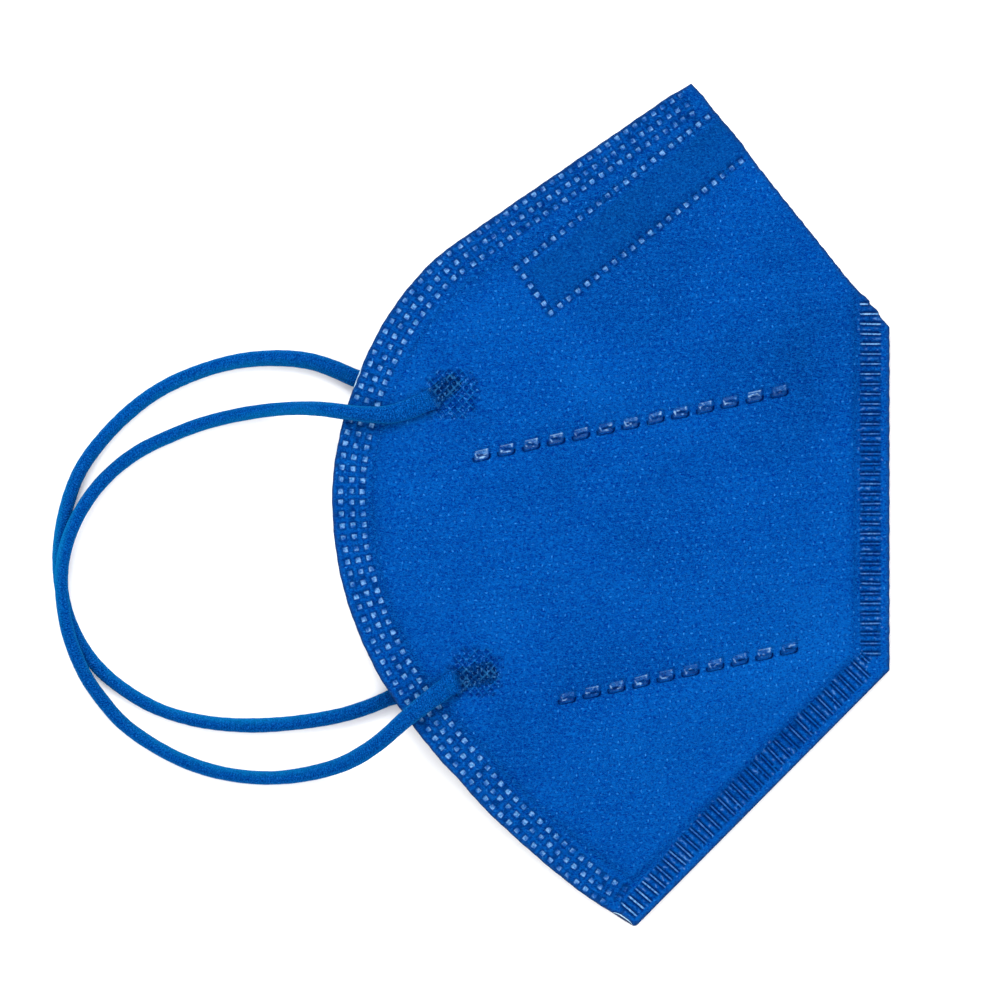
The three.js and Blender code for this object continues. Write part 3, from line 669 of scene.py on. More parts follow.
# Three rows of squares along the face edge. Each run is (distance along the edge at its end, gaps).
SQUARE_START, SQUARE_RUNS = 2.9, [(53.8, 24), (66.7, 5), (150.2, 36), (159, 4), (208.6, 23)]
SQUARE_ROW_GAP = 2.08
CLEAR_OF_CHIN_SEAM, CLEAR_OF_CREASE = 6.0, 1.3
FIRST_ROW_AT = (0, 50, 70, 90, 103, 125, 150, 162, 172, 190, 205, 214)
FIRST_ROW_IN = (1.0, 0.95, 1.1, 1.25, 1.5, 1.9, 2.05, 1.85, 1.5, 1.2, 0.95, 1.0)

square_places = [SQUARE_START]
for end, gaps in SQUARE_RUNS:
    square_places += list(np.linspace(square_places[-1], end, gaps + 1)[1:])
for run in square_places:
    first = np.interp(run, FIRST_ROW_AT, FIRST_ROW_IN)
    for row in range(3):
        middle, along = face_point(run + rng.normal(0, 0.05), first + SQUARE_ROW_GAP * row)
        near_tip = (middle - CHIN_TIP) @ CHIN_IN
        if near_tip < CLEAR_OF_CHIN_SEAM or (middle - FRONT_TOP) @ CREASE_IN < CLEAR_OF_CREASE:
            continue
        bright = rng.uniform(0.55, 1.05) * np.interp(run, (0, 50, 80), (0.66, 0.8, 1))
        bright *= np.interp(near_tip, (7.3, 7.5, 10, 14), (0.4, 0.65, 0.8, 1))
        turn = rng.normal(0, 0.05)
        along = along + turn * left_of(along)
        add_mark(middle, unit(along), square_stencil(rng.uniform(0.2, 0.3), bright))

# The pocket's lines of squares. The long lines have the squares at its corners.
POCKET_GAP, POCKET_SINK = 2.17, 0.24
for line in POCKET_LINES:
    start, end = np.array(line)
    count = round(np.linalg.norm(end - start) / POCKET_GAP)
    first = 1 if line is POCKET_END else 0
    for k in range(first, count + 1 - first):
        middle = start + (end - start) * k / count
        add_mark(middle, unit(end - start), square_stencil(POCKET_SINK, rng.uniform(0.5, 0.9)))

# Bars across the front and the chin seam, brightest where each seam starts.
BAR_SINK = 0.26
FRONT_BARS, FRONT_BAR_GAP, FRONT_BAR_LENGTH, FIRST_BAR = 36, 1.9, 3.6, (FRONT - 3.65, 38.2)
CHIN_BARS, CHIN_BAR_GAP, CHIN_BAR_START = 35, 1.925, 1.6
CHIN_BAR_AT, CHIN_BAR_IN = (8, 18, 40, 66, 67), (3.15, 3.75, 4.0, 4.0, 5.0)

for k in range(FRONT_BARS):
    middle = (FIRST_BAR[0], FIRST_BAR[1] - FRONT_BAR_GAP * k)
    lean = rng.normal(0, 0.012)
    bright = 0.4 + 0.75 * math.exp(-k / 4) + rng.uniform(-0.12, 0.12)
    add_mark(middle, unit((1, lean)), bar_stencil(FRONT_BAR_LENGTH, BAR_SINK, bright))
for k in range(CHIN_BARS):
    run = CHIN_BAR_START + CHIN_BAR_GAP * k
    middle = CHIN_TIP + CHIN_ALONG * run + CHIN_IN * np.interp(run, CHIN_BAR_AT, CHIN_BAR_IN)
    lean = -0.09 * (1 - smoothstep(run, 8, 30)) + rng.normal(0, 0.015)
    length = np.interp(run, (2, 15, 30, 66, 67), (3.5, 3.9, 4.4, 4.2, 2.0))
    bright = 0.3 + 0.6 * math.exp(-k / 5) + rng.uniform(-0.12, 0.12)
    add_mark(middle, unit(CHIN_IN + CHIN_ALONG * lean), bar_stencil(length, BAR_SINK, bright))

# Two rows of dashes.
for start, end, count, row_bright in DASH_ROWS:
    start, end = np.array(start), np.array(end)
    for k in range(count):
        middle = start + (end - start) * k / (count - 1)
        turn = rng.normal(0, 0.03)
        along = unit(unit(end - start) + turn * np.array((-0.2, 1)))
        bright = row_bright * rng.uniform(0.85, 1.15) + 0.3 * (middle[0] < -22)
        add_mark(middle, along, dash_stencil(rng.uniform(0.42, 0.55), bright))

# Knurled patches where the loops are welded on.
KNURL_CELL, KNURL_STEP, KNURL_LEAN = 1.12, 0.225, math.radians(47)
KNURL_PATCH, KNURL_SINK = (5.1, 4.8), 0.42
KNURL_NORMALS = np.array([
    (-math.sin(KNURL_LEAN), math.cos(KNURL_LEAN)), (math.sin(KNURL_LEAN), math.cos(KNURL_LEAN)),
])


def knurl(flat):
    """Height share of the knurled pattern: 1 on its thin ridges and 0 at the bottom of a cell."""
    offset = np.asarray(flat, float) @ KNURL_NORMALS.T / KNURL_CELL
    gap = np.abs(offset - np.round(offset)) * KNURL_CELL
    return (1 - smoothstep(gap, 0.02, 0.24)).max(axis=1)


def weld_share(flat, spot):
    """1 in a welded patch and 0 outside it, with a ragged edge."""
    d = (flat - np.array(spot)) / KNURL_PATCH
    shape = (np.abs(d[:, 0]) ** 3 + np.abs(d[:, 1]) ** 3) ** (1 / 3)
    ragged = 0.09 * np.sin(flat[:, 0] * 2.9 + flat[:, 1]) + 0.07 * np.sin(flat[:, 1] * 3.7)
    return 1 - smoothstep(shape + ragged, 0.8, 1.08)


for spot in WELD_SPOTS:
    # Steps run across the ridges, so that a row of points lies on each ridge.
    reach = np.arange(-36, 37) * KNURL_STEP
    base = np.round(KNURL_NORMALS @ np.array(spot) / KNURL_CELL) * KNURL_CELL
    grid_a, grid_b = np.meshgrid(base[0] + reach, base[1] + reach)
    flat = np.column_stack([grid_a.ravel(), grid_b.ravel()]) @ np.linalg.inv(KNURL_NORMALS).T
    share = weld_share(flat, spot)
    flat, share = flat[share > 0.01], share[share > 0.01]
    ridge, none = knurl(flat), 0 * share
    sink = KNURL_SINK * share * (1 - 0.85 * ridge)
    marks.append(np.column_stack([flat, sink, none, none, share * (1 - ridge), none, share * ridge]))

marks = np.concatenate(marks)


# ---- Mask body ----

AREAS = ("taut", "painted_shading", "cut")
EDGE_STEP = 0.45  # between points of the outline
CLOTH_STEP, FAR_CLOTH_STEP, LINING_STEP = 0.72, 1.25, 1.7
GRID_REACH_X, GRID_REACH_Y = 54, 81  # just past the outline
WELD_STEP, LINING_CLEAR = 1.4, 0.7
LEAST_GAP, CLEAR_OF_MARKS, CLEAR_OF_EDGE = 0.13, 0.3, 0.22
EDGE_ROUND, TABLE_GAP = 0.2, 0.02


def outline():
    """The closed outline, anticlockwise from the nose tip, and each point's run along the face
    edge, or -1 on the other sides."""
    face = respaced(face_line, EDGE_STEP)
    face_run = np.linspace(0, face_runs[-1], len(face))
    chin = respaced(np.array([CHIN_TIP, FRONT_BOTTOM]), EDGE_STEP)[1:]
    front = respaced(np.array([FRONT_BOTTOM, FRONT_TOP]), EDGE_STEP)[1:]
    front[:, 0] = front_edge(front[:, 1])
    steps = round(CREASE_RUN / EDGE_STEP)
    crease = np.array([crease_point(k / steps) for k in range(1, steps)])
    points = np.concatenate([face, chin, front, crease])
    return points, np.concatenate([face_run, np.full(len(points) - len(face), -1.0)])


def near_edge_inset(run):
    """The near half's cut edge stands back from the far one where the far half shows."""
    by_far_loop = (0.17 + 0.05 * np.sin(3.1 * run)) * bell(run, 86.8, 2.7, 4)
    at_chin = 0.55 * bell(run, 211.2, 2.1, 4)
    wavy = 0.03 * np.sin(run * 0.9) + 0.025 * np.sin(run * 2.3 + 1)
    return np.where(run > 0.5, by_far_loop + at_chin + 0.03 + wavy, 0)


def spaced_apart(points, least):
    """The points that stay when each has to be this far from those kept before it."""
    tree = plane_tree(points[:, :2])
    kept = np.ones(len(points), bool)
    for i, p in enumerate(points):
        if kept[i]:
            for _, j, _ in tree.find_range((p[0], p[1], 0), least):
                if j > i:
                    kept[j] = False
    return points[kept]


def hex_grid(step, jitter):
    x, y = np.meshgrid(
        np.arange(-GRID_REACH_X, GRID_REACH_X, step),
        np.arange(-GRID_REACH_Y, GRID_REACH_Y, step * math.sqrt(3) / 2),
    )
    x = x + np.where(np.arange(len(x)) % 2, step / 2, 0)[:, None]
    flat = np.column_stack([x.ravel(), y.ravel()])
    return flat + rng.uniform(-jitter, jitter, flat.shape) * step


def triangles(loop, inside):
    """Flat triangles inside the closed loop, through all the points: loop first, then inside."""
    flat = [Vector(p) for p in np.concatenate([loop, inside])]
    made = delaunay_2d_cdt(flat, [], [list(range(len(loop)))], 1, 1e-6)
    source = [found[0] if found else -1 for found in made[3]]
    faces = np.array([[source[i] for i in face] for face in made[2]])
    if (faces < 0).any():
        raise ValueError("the outline crosses itself")
    return faces


def cloth_points(step, near_half):
    """The points inside one half's outline, with their sink and masks."""
    plain = hex_grid(step, 0.16)
    plain = np.column_stack([plain, np.zeros((len(plain), 1 + len(MASKS)))])
    points = np.concatenate([marks, plain])
    at = Places(points[:, :2])
    cut_edge = near_edge_inset(at.along) if near_half else 0
    inside = np.minimum.reduce([at.face - cut_edge, at.front, at.chin, at.crease])
    points = points[inside > CLEAR_OF_EDGE]
    marked = np.any(points[:, 2:] != 0, axis=1)
    points = spaced_apart(points[np.argsort(~marked, kind="stable")], LEAST_GAP)
    marked = np.any(points[:, 2:] != 0, axis=1)
    tree = plane_tree(points[marked, :2])
    clear = [m or tree.find((p[0], p[1], 0))[2] > CLEAR_OF_MARKS for m, p in zip(marked, points)]
    return points[np.array(clear)]


far_rim, rim_run = outline()
count = len(far_rim)
near_rim = far_rim.copy()
for i in np.flatnonzero(rim_run > 0.5):
    near_rim[i] = face_point(rim_run[i], float(near_edge_inset(rim_run[i : i + 1])[0]))[0]
tip = int(np.argmax(rim_run))
for rim in (near_rim, far_rim):  # the cut at the chin tip is blunt
    rim[tip] = 0.2 * rim[tip] + 0.4 * (rim[tip - 1] + rim[tip + 1])


def outer_side(rim, step, near_half):
    """One half's outer side: its faces, its points, and the masks and areas at each point."""
    points = cloth_points(step, near_half)
    faces = triangles(rim, points[:, :2])
    values = np.concatenate([np.zeros((len(rim), 1 + len(MASKS))), points[:, 2:]])
    at = Places(np.concatenate([rim, points[:, :2]]))
    cut_edge = near_edge_inset(at.along) if near_half else 0
    inside = np.minimum.reduce([
        np.abs(at.face - cut_edge), at.front, at.chin, np.maximum(at.crease, 0),
    ])
    inside[: len(rim)] = 0
    rounded = EDGE_ROUND * (1 - smoothstep(inside, 0, 2 * EDGE_ROUND))
    lift = soft_relief(at) - values[:, 0] - rounded
    near, far = outer_heights(at)
    z = near + lift if near_half else np.maximum(far - lift, TABLE_GAP)
    # The last area marks the outer side just inside every edge, for painted shade where the cloth rolls
    # away.
    areas = np.column_stack([pocket_share(at), painted_shading(at), 1 - smoothstep(inside, 0, 0.6)])
    return faces, np.column_stack([at.flat, z]), np.column_stack([values[:, 1:], areas])


near_faces, near_surface, near_traits = outer_side(near_rim, CLOTH_STEP, True)
far_faces, far_surface, far_traits = outer_side(far_rim, FAR_CLOTH_STEP, False)

# The lining: both inner surfaces, which meet along the weld line and stay open at the face edge.
rim_at = Places(far_rim)
on_face = (rim_run >= 0) & (rim_at.crease > CREASE_WALL) & (rim_at.chin > SEAM_WIDTH)
open_rim = np.flatnonzero(on_face)
weld_x = FRONT - SEAM_WIDTH
weld_corner = (weld_x, CHIN_TIP[1] + (weld_x - CHIN_TIP[0]) + SEAM_WIDTH * math.sqrt(2))
crease_weld = np.array([crease_point(share, CREASE_WALL) for share in np.linspace(0, 1, 61)])
crease_weld = crease_weld[crease_weld[:, 0] < weld_x]
crease_weld = crease_weld[face_edge(crease_weld)[1] > 0.8]
weld_line = np.concatenate([
    [far_rim[open_rim[-1]], weld_corner], crease_weld, [far_rim[open_rim[0]]],
])
weld_line = respaced(weld_line, WELD_STEP)[1:-1]
lining_points = hex_grid(LINING_STEP, 0.1)
at = Places(lining_points)
inside = np.minimum.reduce([at.face, at.seam - SEAM_WIDTH, at.crease - CREASE_WALL])
lining_points = lining_points[inside > LINING_CLEAR]


def lining(rim, near_half):
    """Faces and points of one inner surface: open rim, weld line, then the points between. The
    lining follows the outer surface's relief where the two halves stand apart, and passes under
    the nose clip."""
    loop = np.concatenate([rim[open_rim], weld_line])
    faces = triangles(loop, lining_points)
    flat = np.concatenate([loop, lining_points])
    at = Places(flat)
    hollow, over_clip = hollow_height(at), pocket_share(at, 2.4)
    relief = soft_relief(at) * smoothstep(hollow, 0.9, 2.6) * (1 - over_clip)
    relief -= 0.18 * over_clip * smoothstep(hollow, 0.3, 0.9)
    z = near_inner(at) + relief if near_half else far_inner(at) - relief
    return faces, np.column_stack([flat, z])


near_lining_faces, near_lining = lining(near_rim, True)
far_lining_faces, far_lining = lining(far_rim, False)


def join_body():
    """Puts the four surfaces together as one closed shell. Its kinds of faces are the outer sides,
    the cut edge and the lining."""
    far_first = len(near_surface)
    near_lining_first = far_first + len(far_surface)
    far_lining_first = near_lining_first + len(near_lining)
    middle_first = far_lining_first + len(far_lining)
    opening = np.arange(len(open_rim))
    closed = np.array([i for i in range(count) if not (open_rim[0] <= i <= open_rim[-1])])
    middles = np.column_stack([
        far_rim[closed] + 0.35 * (near_rim[closed] - far_rim[closed]),
        (near_surface[closed, 2] + far_surface[closed, 2]) / 2,
    ])
    vertices = np.concatenate([near_surface, far_surface, near_lining, far_lining, middles])
    joined = np.arange(len(vertices))
    # The far lining uses the near lining's points where the two are welded.
    for k in [0, *range(opening[-1], len(open_rim) + len(weld_line))]:
        joined[far_lining_first + k] = near_lining_first + k
        vertices[near_lining_first + k, 2] = (near_lining[k, 2] + far_lining[k, 2]) / 2
    near_wall, far_wall = np.zeros(count, int), np.zeros(count, int)
    near_wall[open_rim] = near_lining_first + opening
    far_wall[open_rim] = joined[far_lining_first + opening]
    near_wall[closed] = far_wall[closed] = middle_first + np.arange(len(closed))
    faces = near_faces.tolist() + (far_faces[:, ::-1] + far_first).tolist()
    outer_count = len(faces)
    for i in range(count):
        j = (i + 1) % count
        faces.append([i, near_wall[i], near_wall[j], j])
        faces.append([far_wall[i], far_first + i, far_first + j, far_wall[j]])
    edge_count = len(faces)
    faces += (near_lining_faces[:, ::-1] + near_lining_first).tolist()
    faces += joined[far_lining_faces + far_lining_first].tolist()
    kinds = np.full(len(faces), 2)
    kinds[:outer_count] = 0
    kinds[outer_count:edge_count] = 1
    stands_back = near_edge_inset(rim_run) > 0.12  # the far half's inner layer shows here
    kinds[outer_count + 2 * closed[stands_back[closed]]] = 2
    traits = np.zeros((len(vertices), len(MASKS + AREAS)))
    traits[:near_lining_first] = np.concatenate([near_traits, far_traits])
    cut = (MASKS + AREAS).index("cut")
    traits[far_lining_first + np.flatnonzero(stands_back[open_rim]), cut] = 1
    traits[middle_first:, cut] = -1
    used = np.unique(np.concatenate([np.ravel(face) for face in faces]))
    renumber = np.zeros(len(vertices), int)
    renumber[used] = np.arange(len(used))
    return vertices[used], [renumber[face].tolist() for face in faces], kinds, traits[used]


body_vertices, body_faces, body_kinds, body_traits = join_body()
mask_body = mesh_piece("folded_mask", body_vertices, body_faces)
mask_body.data.polygons.foreach_set("material_index", body_kinds.astype(np.int32))
for name, values in zip(MASKS + AREAS, body_traits.T):
    set_attribute(mask_body.data, name, values)
outward(mask_body)
stands_for(mask_body, "mask_body")


# ---- Welded ends of the loops ----

def loop_end(name, node, line, end, weld, near_half):
    """The end of a cord, pressed flat into its weld. weld holds the middle of its darkest part,
    then the direction, half length and width of that part."""
    middle, turn, reach, width = weld
    start = line[end]
    heading = unit((start - line[end + (3 if end == 0 else -3)])[:2])
    lean = np.array((math.cos(turn), math.sin(turn)))
    begin, beyond = np.array(middle) - lean * reach, np.array(middle) + lean * reach
    gap = np.linalg.norm(begin - start[:2])
    curve = bezier(
        start[:2] - heading * 0.3, start[:2] + heading * gap * 0.4, begin - lean * gap * 0.4, begin
    )
    flat = respaced(np.concatenate([curve, [beyond]]), 0.16)
    run = runs(flat)
    last = run[-1]
    widths = np.interp(run, (0, gap, gap + 1, last - 1.6, last - 0.5, last),
                       (FLATTENED, width + 0.6, width, width, width * 0.8, width * 0.5))
    tall = LOOP_HEIGHT * (1 - (NEAR_SQUASH if near_half else FAR_SQUASH)) - KNIT_GIVES
    heights = np.interp(run, (0, gap * 0.7, gap + 1, last - 1, last), (tall, 1.1, 0.65, 0.6, 0.3))
    at = Places(flat)
    near, far = outer_heights(at)
    relief, settled = soft_relief(at), smoothstep(run, 0, 3.2)
    pressed = smoothstep(run, gap * 0.55, gap + 1)
    if near_half:
        seat = near + relief - 0.5 * pressed + 0.05 + heights / 2
        z = start[2] + (seat - start[2]) * settled
    else:
        seat = far - relief + 0.3 * pressed - heights / 2
        z = np.maximum(start[2] + (seat - start[2]) * settled, heights / 2 + TABLE_GAP)

    def sink(grid):
        pattern = 1 - knurl(grid.reshape(-1, 3)[:, :2]).reshape(grid.shape[:2])
        return 0.3 * pattern * pressed[:, None] * near_half

    piece = swept(name, np.column_stack([flat, z]), widths, heights, END_SIDES, sink)
    co = points_of(piece)
    ring = np.minimum(np.arange(len(co)) // END_SIDES, len(run) - 1)
    ring[-2] = 0  # the point that closes the start
    ridge = knurl(co[:, :2])
    off_middle = np.linalg.norm(co[:, :2] - flat[ring], axis=1) / (widths[ring] / 2)
    middle_share = 1 - 0.6 * smoothstep(off_middle, 0.55, 1)
    set_attribute(piece.data, "press", pressed[ring] * middle_share * (1 - ridge))
    set_attribute(piece.data, "ridge", pressed[ring] * ridge)
    stands_for(piece, node)
    return piece


loop_ends = []
for half, line in (("near", near_line), ("far", far_line)):
    for place, end, weld in (
        ("upper", 0, ((-31.3, 22.3), 0.67, 2.9, 3.5)), ("lower", -1, ((-25.4, -32.4), 0.28, 3.7, 4.3)),
    ):
        loop_ends.append(loop_end(
            f"{half}_{place}_loop_end", f"loop_end_{half}_{place}", line, end, weld, half == "near",
        ))


# ---- Materials ----

HELD_BACK = 0.76  # the light washes out the white table, so the colours on it are held back


def srgb(r, g, b):
    """A colour given as 0 to 255 in a paint program, as Blender holds it."""
    def linear(c):
        c /= 255
        return HELD_BACK * (c / 12.92 if c <= 0.04045 else ((c + 0.055) / 1.055) ** 2.4)
    return (linear(r), linear(g), linear(b), 1)


def plug(tree, made, inputs):
    """Gives sockets, by name or number, a value or another node's output."""
    for name, value in inputs.items():
        if isinstance(value, bpy.types.NodeSocket):
            tree.links.new(value, made.inputs[name])
        else:
            made.inputs[name].default_value = value


def node(tree, kind, inputs, **settings):
    made = tree.nodes.new(kind)
    for name, value in settings.items():
        setattr(made, name, value)
    plug(tree, made, inputs)
    return made


def maths(tree, operation, *values):
    return node(tree, "ShaderNodeMath", dict(enumerate(values)), operation=operation).outputs[0]


def times(tree, a, b):
    return maths(tree, "MULTIPLY", a, b)


def vector_maths(tree, operation, inputs, output=0):
    return node(tree, "ShaderNodeVectorMath", inputs, operation=operation).outputs[output]


def ramp(tree, value, low, high, to_low=0.0, to_high=1.0):
    """value eased from low..high to to_low..to_high."""
    return node(
        tree, "ShaderNodeMapRange",
        {"Value": value, "From Min": low, "From Max": high, "To Min": to_low, "To Max": to_high},
        interpolation_type="SMOOTHSTEP",
    ).outputs["Result"]


def blend(tree, share, a, b):
    """Colour a where share is 0 and b where it is 1."""
    return node(
        tree, "ShaderNodeMix", {0: share, 6: a, 7: b}, data_type="RGBA", clamp_factor=True
    ).outputs[2]


def coats(tree, colour, layers):
    """Lays colours one over another. Each layer is a mask, its strength and its colour."""
    for mask, strength, over in layers:
        colour = blend(tree, times(tree, mask, strength), colour, over)
    return colour


def noise(tree, vector, scale, detail, roughness=0.5, output="Fac"):
    inputs = {"Vector": vector, "Scale": scale, "Detail": detail, "Roughness": roughness}
    return node(tree, "ShaderNodeTexNoise", inputs).outputs[output]


def eased_noise(tree, vector, scale, detail, low, high, roughness=0.5):
    return ramp(tree, noise(tree, vector, scale, detail, roughness), low, high)


def mapped(tree, vector, turn, scale):
    inputs = {"Vector": vector, "Rotation": (0, 0, turn), "Scale": scale}
    return node(tree, "ShaderNodeMapping", inputs).outputs[0]


def new_group(name, inputs, outputs):
    """A node group that reads Vector and the numbers in inputs, and puts out numbers."""
    tree = bpy.data.node_groups.new(name, "ShaderNodeTree")
    tree.interface.new_socket("Vector", in_out="INPUT", socket_type="NodeSocketVector")
    for label, default in inputs.items():
        socket = tree.interface.new_socket(label, in_out="INPUT", socket_type="NodeSocketFloat")
        socket.default_value = default
    for label in outputs:
        tree.interface.new_socket(label, in_out="OUTPUT", socket_type="NodeSocketFloat")
    return tree, tree.nodes.new("NodeGroupInput").outputs, tree.nodes.new("NodeGroupOutput")


def placed(tree, group, inputs):
    return node(tree, "ShaderNodeGroup", inputs, node_tree=group).outputs


BOND_CELLS = ((676.0, -213.0, 0.0), (-60.5, 718.0, 0.0))  # cells to a metre, along each lattice line
BOND_AXES = ((1.518, 0.45), (0.127, 1.43))  # from shares of a cell to millimetres
BOND_WIDE, BOND_NARROW = 0.33, 0.18


def point_bonds():
    """The cloth's lattice of bond points: small oval spots, each lying across its neighbours, with
    painted shade in a rim round each spot.
    """
    tree, given, result = new_group("Point bonds", {"Unevenness": 0.5}, ("Spot", "Shaded rim"))
    vector = given["Vector"]
    wander = noise(tree, vector, 260, 1.0, output="Color")
    wander = vector_maths(tree, "SUBTRACT", {0: wander, 1: (0.5, 0.5, 0.5)})
    wander = vector_maths(tree, "SCALE", {0: wander, 3: 0.00045})
    where = vector_maths(tree, "ADD", {0: vector, 1: wander})
    counts = [vector_maths(tree, "DOT_PRODUCT", {0: where, 1: cells}, 1) for cells in BOND_CELLS]
    cells = [maths(tree, "FLOOR", count) for count in counts]
    a, b = (maths(tree, "SUBTRACT", maths(tree, "FRACT", count), 0.5) for count in counts)
    turned = maths(tree, "MODULO", maths(tree, "ADD", maths(tree, "ADD", *cells), 400.0), 2.0)
    squares = []
    for (by_a, by_b), one, other in zip(BOND_AXES, (BOND_WIDE, BOND_NARROW), (BOND_NARROW, BOND_WIDE)):
        place = maths(tree, "MULTIPLY_ADD", a, by_a, times(tree, b, by_b))
        size = maths(tree, "MULTIPLY_ADD", turned, other - one, one)
        share = maths(tree, "DIVIDE", place, size)
        squares.append(times(tree, share, share))
    distance = maths(tree, "SQRT", maths(tree, "ADD", *squares))
    cell = node(tree, "ShaderNodeCombineXYZ", dict(enumerate(cells))).outputs[0]
    luck = node(tree, "ShaderNodeTexWhiteNoise", {"Vector": cell}).outputs["Value"]
    weak = times(tree, maths(tree, "SUBTRACT", 1.0, luck), given["Unevenness"])
    area = ramp(tree, noise(tree, vector, 75, 1.0), 0.3, 0.62, 0.45, 1.0)
    strength = times(tree, maths(tree, "SUBTRACT", 1.0, weak), area)
    fleck = noise(tree, vector, 1700, 1.0)
    spot = times(tree, ramp(tree, distance, 1.25, 0.4), ramp(tree, fleck, 0.3, 0.58, 0.1, 1.0))
    # Painted shade in the crevice round each spot.
    rim = times(tree, ramp(tree, distance, 0.9, 1.3), ramp(tree, distance, 2.3, 1.4))
    rim = times(tree, rim, ramp(tree, fleck, 0.66, 0.4))
    plug(tree, result, {"Spot": times(tree, spot, strength), "Shaded rim": times(tree, rim, strength)})
    return tree


def felted_fibres():
    """Fine crossing strands with dark gaps between them."""
    tree, given, result = new_group("Felted fibres", {"Scale": 1.0}, ("Height", "Strand", "Gap"))
    strands = 0.0
    for turn, count in ((0.05, 1500.0), (0.7, 1800.0), (2.6, 1650.0)):
        made = node(tree, "ShaderNodeTexNoise", {
            "Vector": mapped(tree, given["Vector"], turn, (0.65, 1.5, 1.0)),
            "Scale": times(tree, given["Scale"], count), "Detail": 1.0, "Distortion": 0.6,
        })
        off_line = maths(tree, "ABSOLUTE", maths(tree, "SUBTRACT", made.outputs["Fac"], 0.5))
        strands = maths(tree, "MAXIMUM", strands, ramp(tree, off_line, 0.055, 0.0))
    gaps = eased_noise(tree, given["Vector"], 2400, 1.0, 0.56, 0.34, 0.6)
    height = maths(tree, "SUBTRACT", strands, gaps)
    plug(tree, result, {"Height": height, "Strand": strands, "Gap": gaps})
    return tree


POINT_BONDS, FELTED_FIBRES = point_bonds(), felted_fibres()


def new_material(name):
    """A material, its tree, its shader, and the places on the piece that its patterns read."""
    material = bpy.data.materials.new(name)
    material.use_nodes = True
    tree = material.node_tree
    tree.nodes.clear()
    shader = tree.nodes.new("ShaderNodeBsdfPrincipled")
    node(tree, "ShaderNodeOutputMaterial", {"Surface": shader.outputs[0]})
    return material, tree, shader, node(tree, "ShaderNodeTexCoord", {}).outputs["Object"]


def attributes(tree, *names):
    return [node(tree, "ShaderNodeAttribute", {}, attribute_name=n).outputs["Fac"] for n in names]


def bump(tree, height, strength, distance):
    inputs = {"Height": height, "Strength": strength, "Distance": distance}
    return node(tree, "ShaderNodeBump", inputs).outputs[0]


def cloth_height(tree, spot, fibres):
    return maths(tree, "MULTIPLY_ADD", spot, -0.8, times(tree, fibres["Height"], 0.6))


NAVY, PALE_FILM = srgb(0, 16, 68), srgb(116, 168, 226)


def laminate_material():
    """Blue spunbond face of the laminate, with its weld marks."""
    material, tree, shader, where = new_material("blue spunbond")
    film, wall_shade, press, film_highlight, ridge = attributes(tree, *MASKS)
    taut, shade, cut = attributes(tree, *AREAS)
    # Painted light and shade from the shading area, with random mottling mixed in.
    mottled = maths(tree, "SUBTRACT", noise(tree, where, 75, 2.0), 0.5)
    tones = maths(tree, "MULTIPLY_ADD", mottled, 1.5, shade)
    lighter, darker = (maths(tree, "MAXIMUM", times(tree, tones, way), 0.0) for way in (1.0, -1.0))
    bonds = placed(tree, POINT_BONDS, {"Vector": where, "Unevenness": 0.9})
    fibres = placed(tree, FELTED_FIBRES, {"Vector": where, "Scale": 1.0})
    calm = maths(tree, "MULTIPLY_ADD", taut, -0.35, 1.0)
    rim, spot = (times(tree, bonds[name], calm) for name in ("Shaded rim", "Spot"))
    streaks = eased_noise(tree, where, 2300, 2.0, 0.35, 0.65)
    stretched = blend(tree, streaks, srgb(0, 36, 100), srgb(6, 80, 148))
    broken = times(tree, eased_noise(tree, where, 800, 2.0, 0.43, 0.63), 0.75)
    fleck, pressed = noise(tree, where, 1900, 1.0), maths(tree, "ADD", press, ridge)
    pits, glints = ramp(tree, fleck, 0.44, 0.3, 0.0, 0.6), ramp(tree, fleck, 0.58, 0.75, 0.0, 0.9)
    grain = eased_noise(tree, where, 2600, 1.0, 0.3, 0.6)
    film_colour = blend(tree, grain, srgb(54, 122, 184), PALE_FILM)
    cloud = eased_noise(tree, where, 1700, 2.0, 0.3, 0.7, 0.6)
    colour = coats(tree, blend(tree, cloud, srgb(0, 50, 136), srgb(0, 70, 157)), [
        # Painted light and painted shade, with random mottling.
        (lighter, 0.55, srgb(6, 94, 184)),
        (darker, 0.8, srgb(0, 36, 102)),
        # Painted shade round each bond point.
        (rim, 0.85, srgb(0, 32, 120)),
        (spot, 1.0, srgb(46, 138, 226)),
        (fibres["Gap"], 0.72, srgb(0, 31, 118)),
        (fibres["Strand"], 0.62, srgb(9, 99, 184)),
        (taut, 0.36, stretched),
        # Painted shade on the weld marks' steep sides, with some real darkening of squeezed fibres.
        (wall_shade, 0.85, NAVY),
        (press, 0.5, srgb(0, 34, 122)),
        (ridge, broken, srgb(12, 102, 180)),
        (pits, pressed, srgb(0, 24, 92)),
        (glints, pressed, srgb(56, 136, 222)),
        # Painted shade just inside the edges, where the cloth rolls away.
        (cut, 0.9, srgb(24, 54, 98)),
        (ramp(tree, film, 0.15, 0.85), 1.0, film_colour),
        # Painted highlights where creased film catches the light.
        (ramp(tree, film_highlight, 0.15, 0.85), 1.0, srgb(150, 194, 234)),
    ])
    plug(tree, shader, {
        "Base Color": colour, "Roughness": ramp(tree, film, 0, 1, 0.78, 0.4),
        "Specular IOR Level": 0.0, "Coat Weight": times(tree, film, 0.08), "Coat Roughness": 0.25,
        "Normal": bump(tree, cloth_height(tree, spot, fibres), 0.55, 0.0002),
    })
    return material


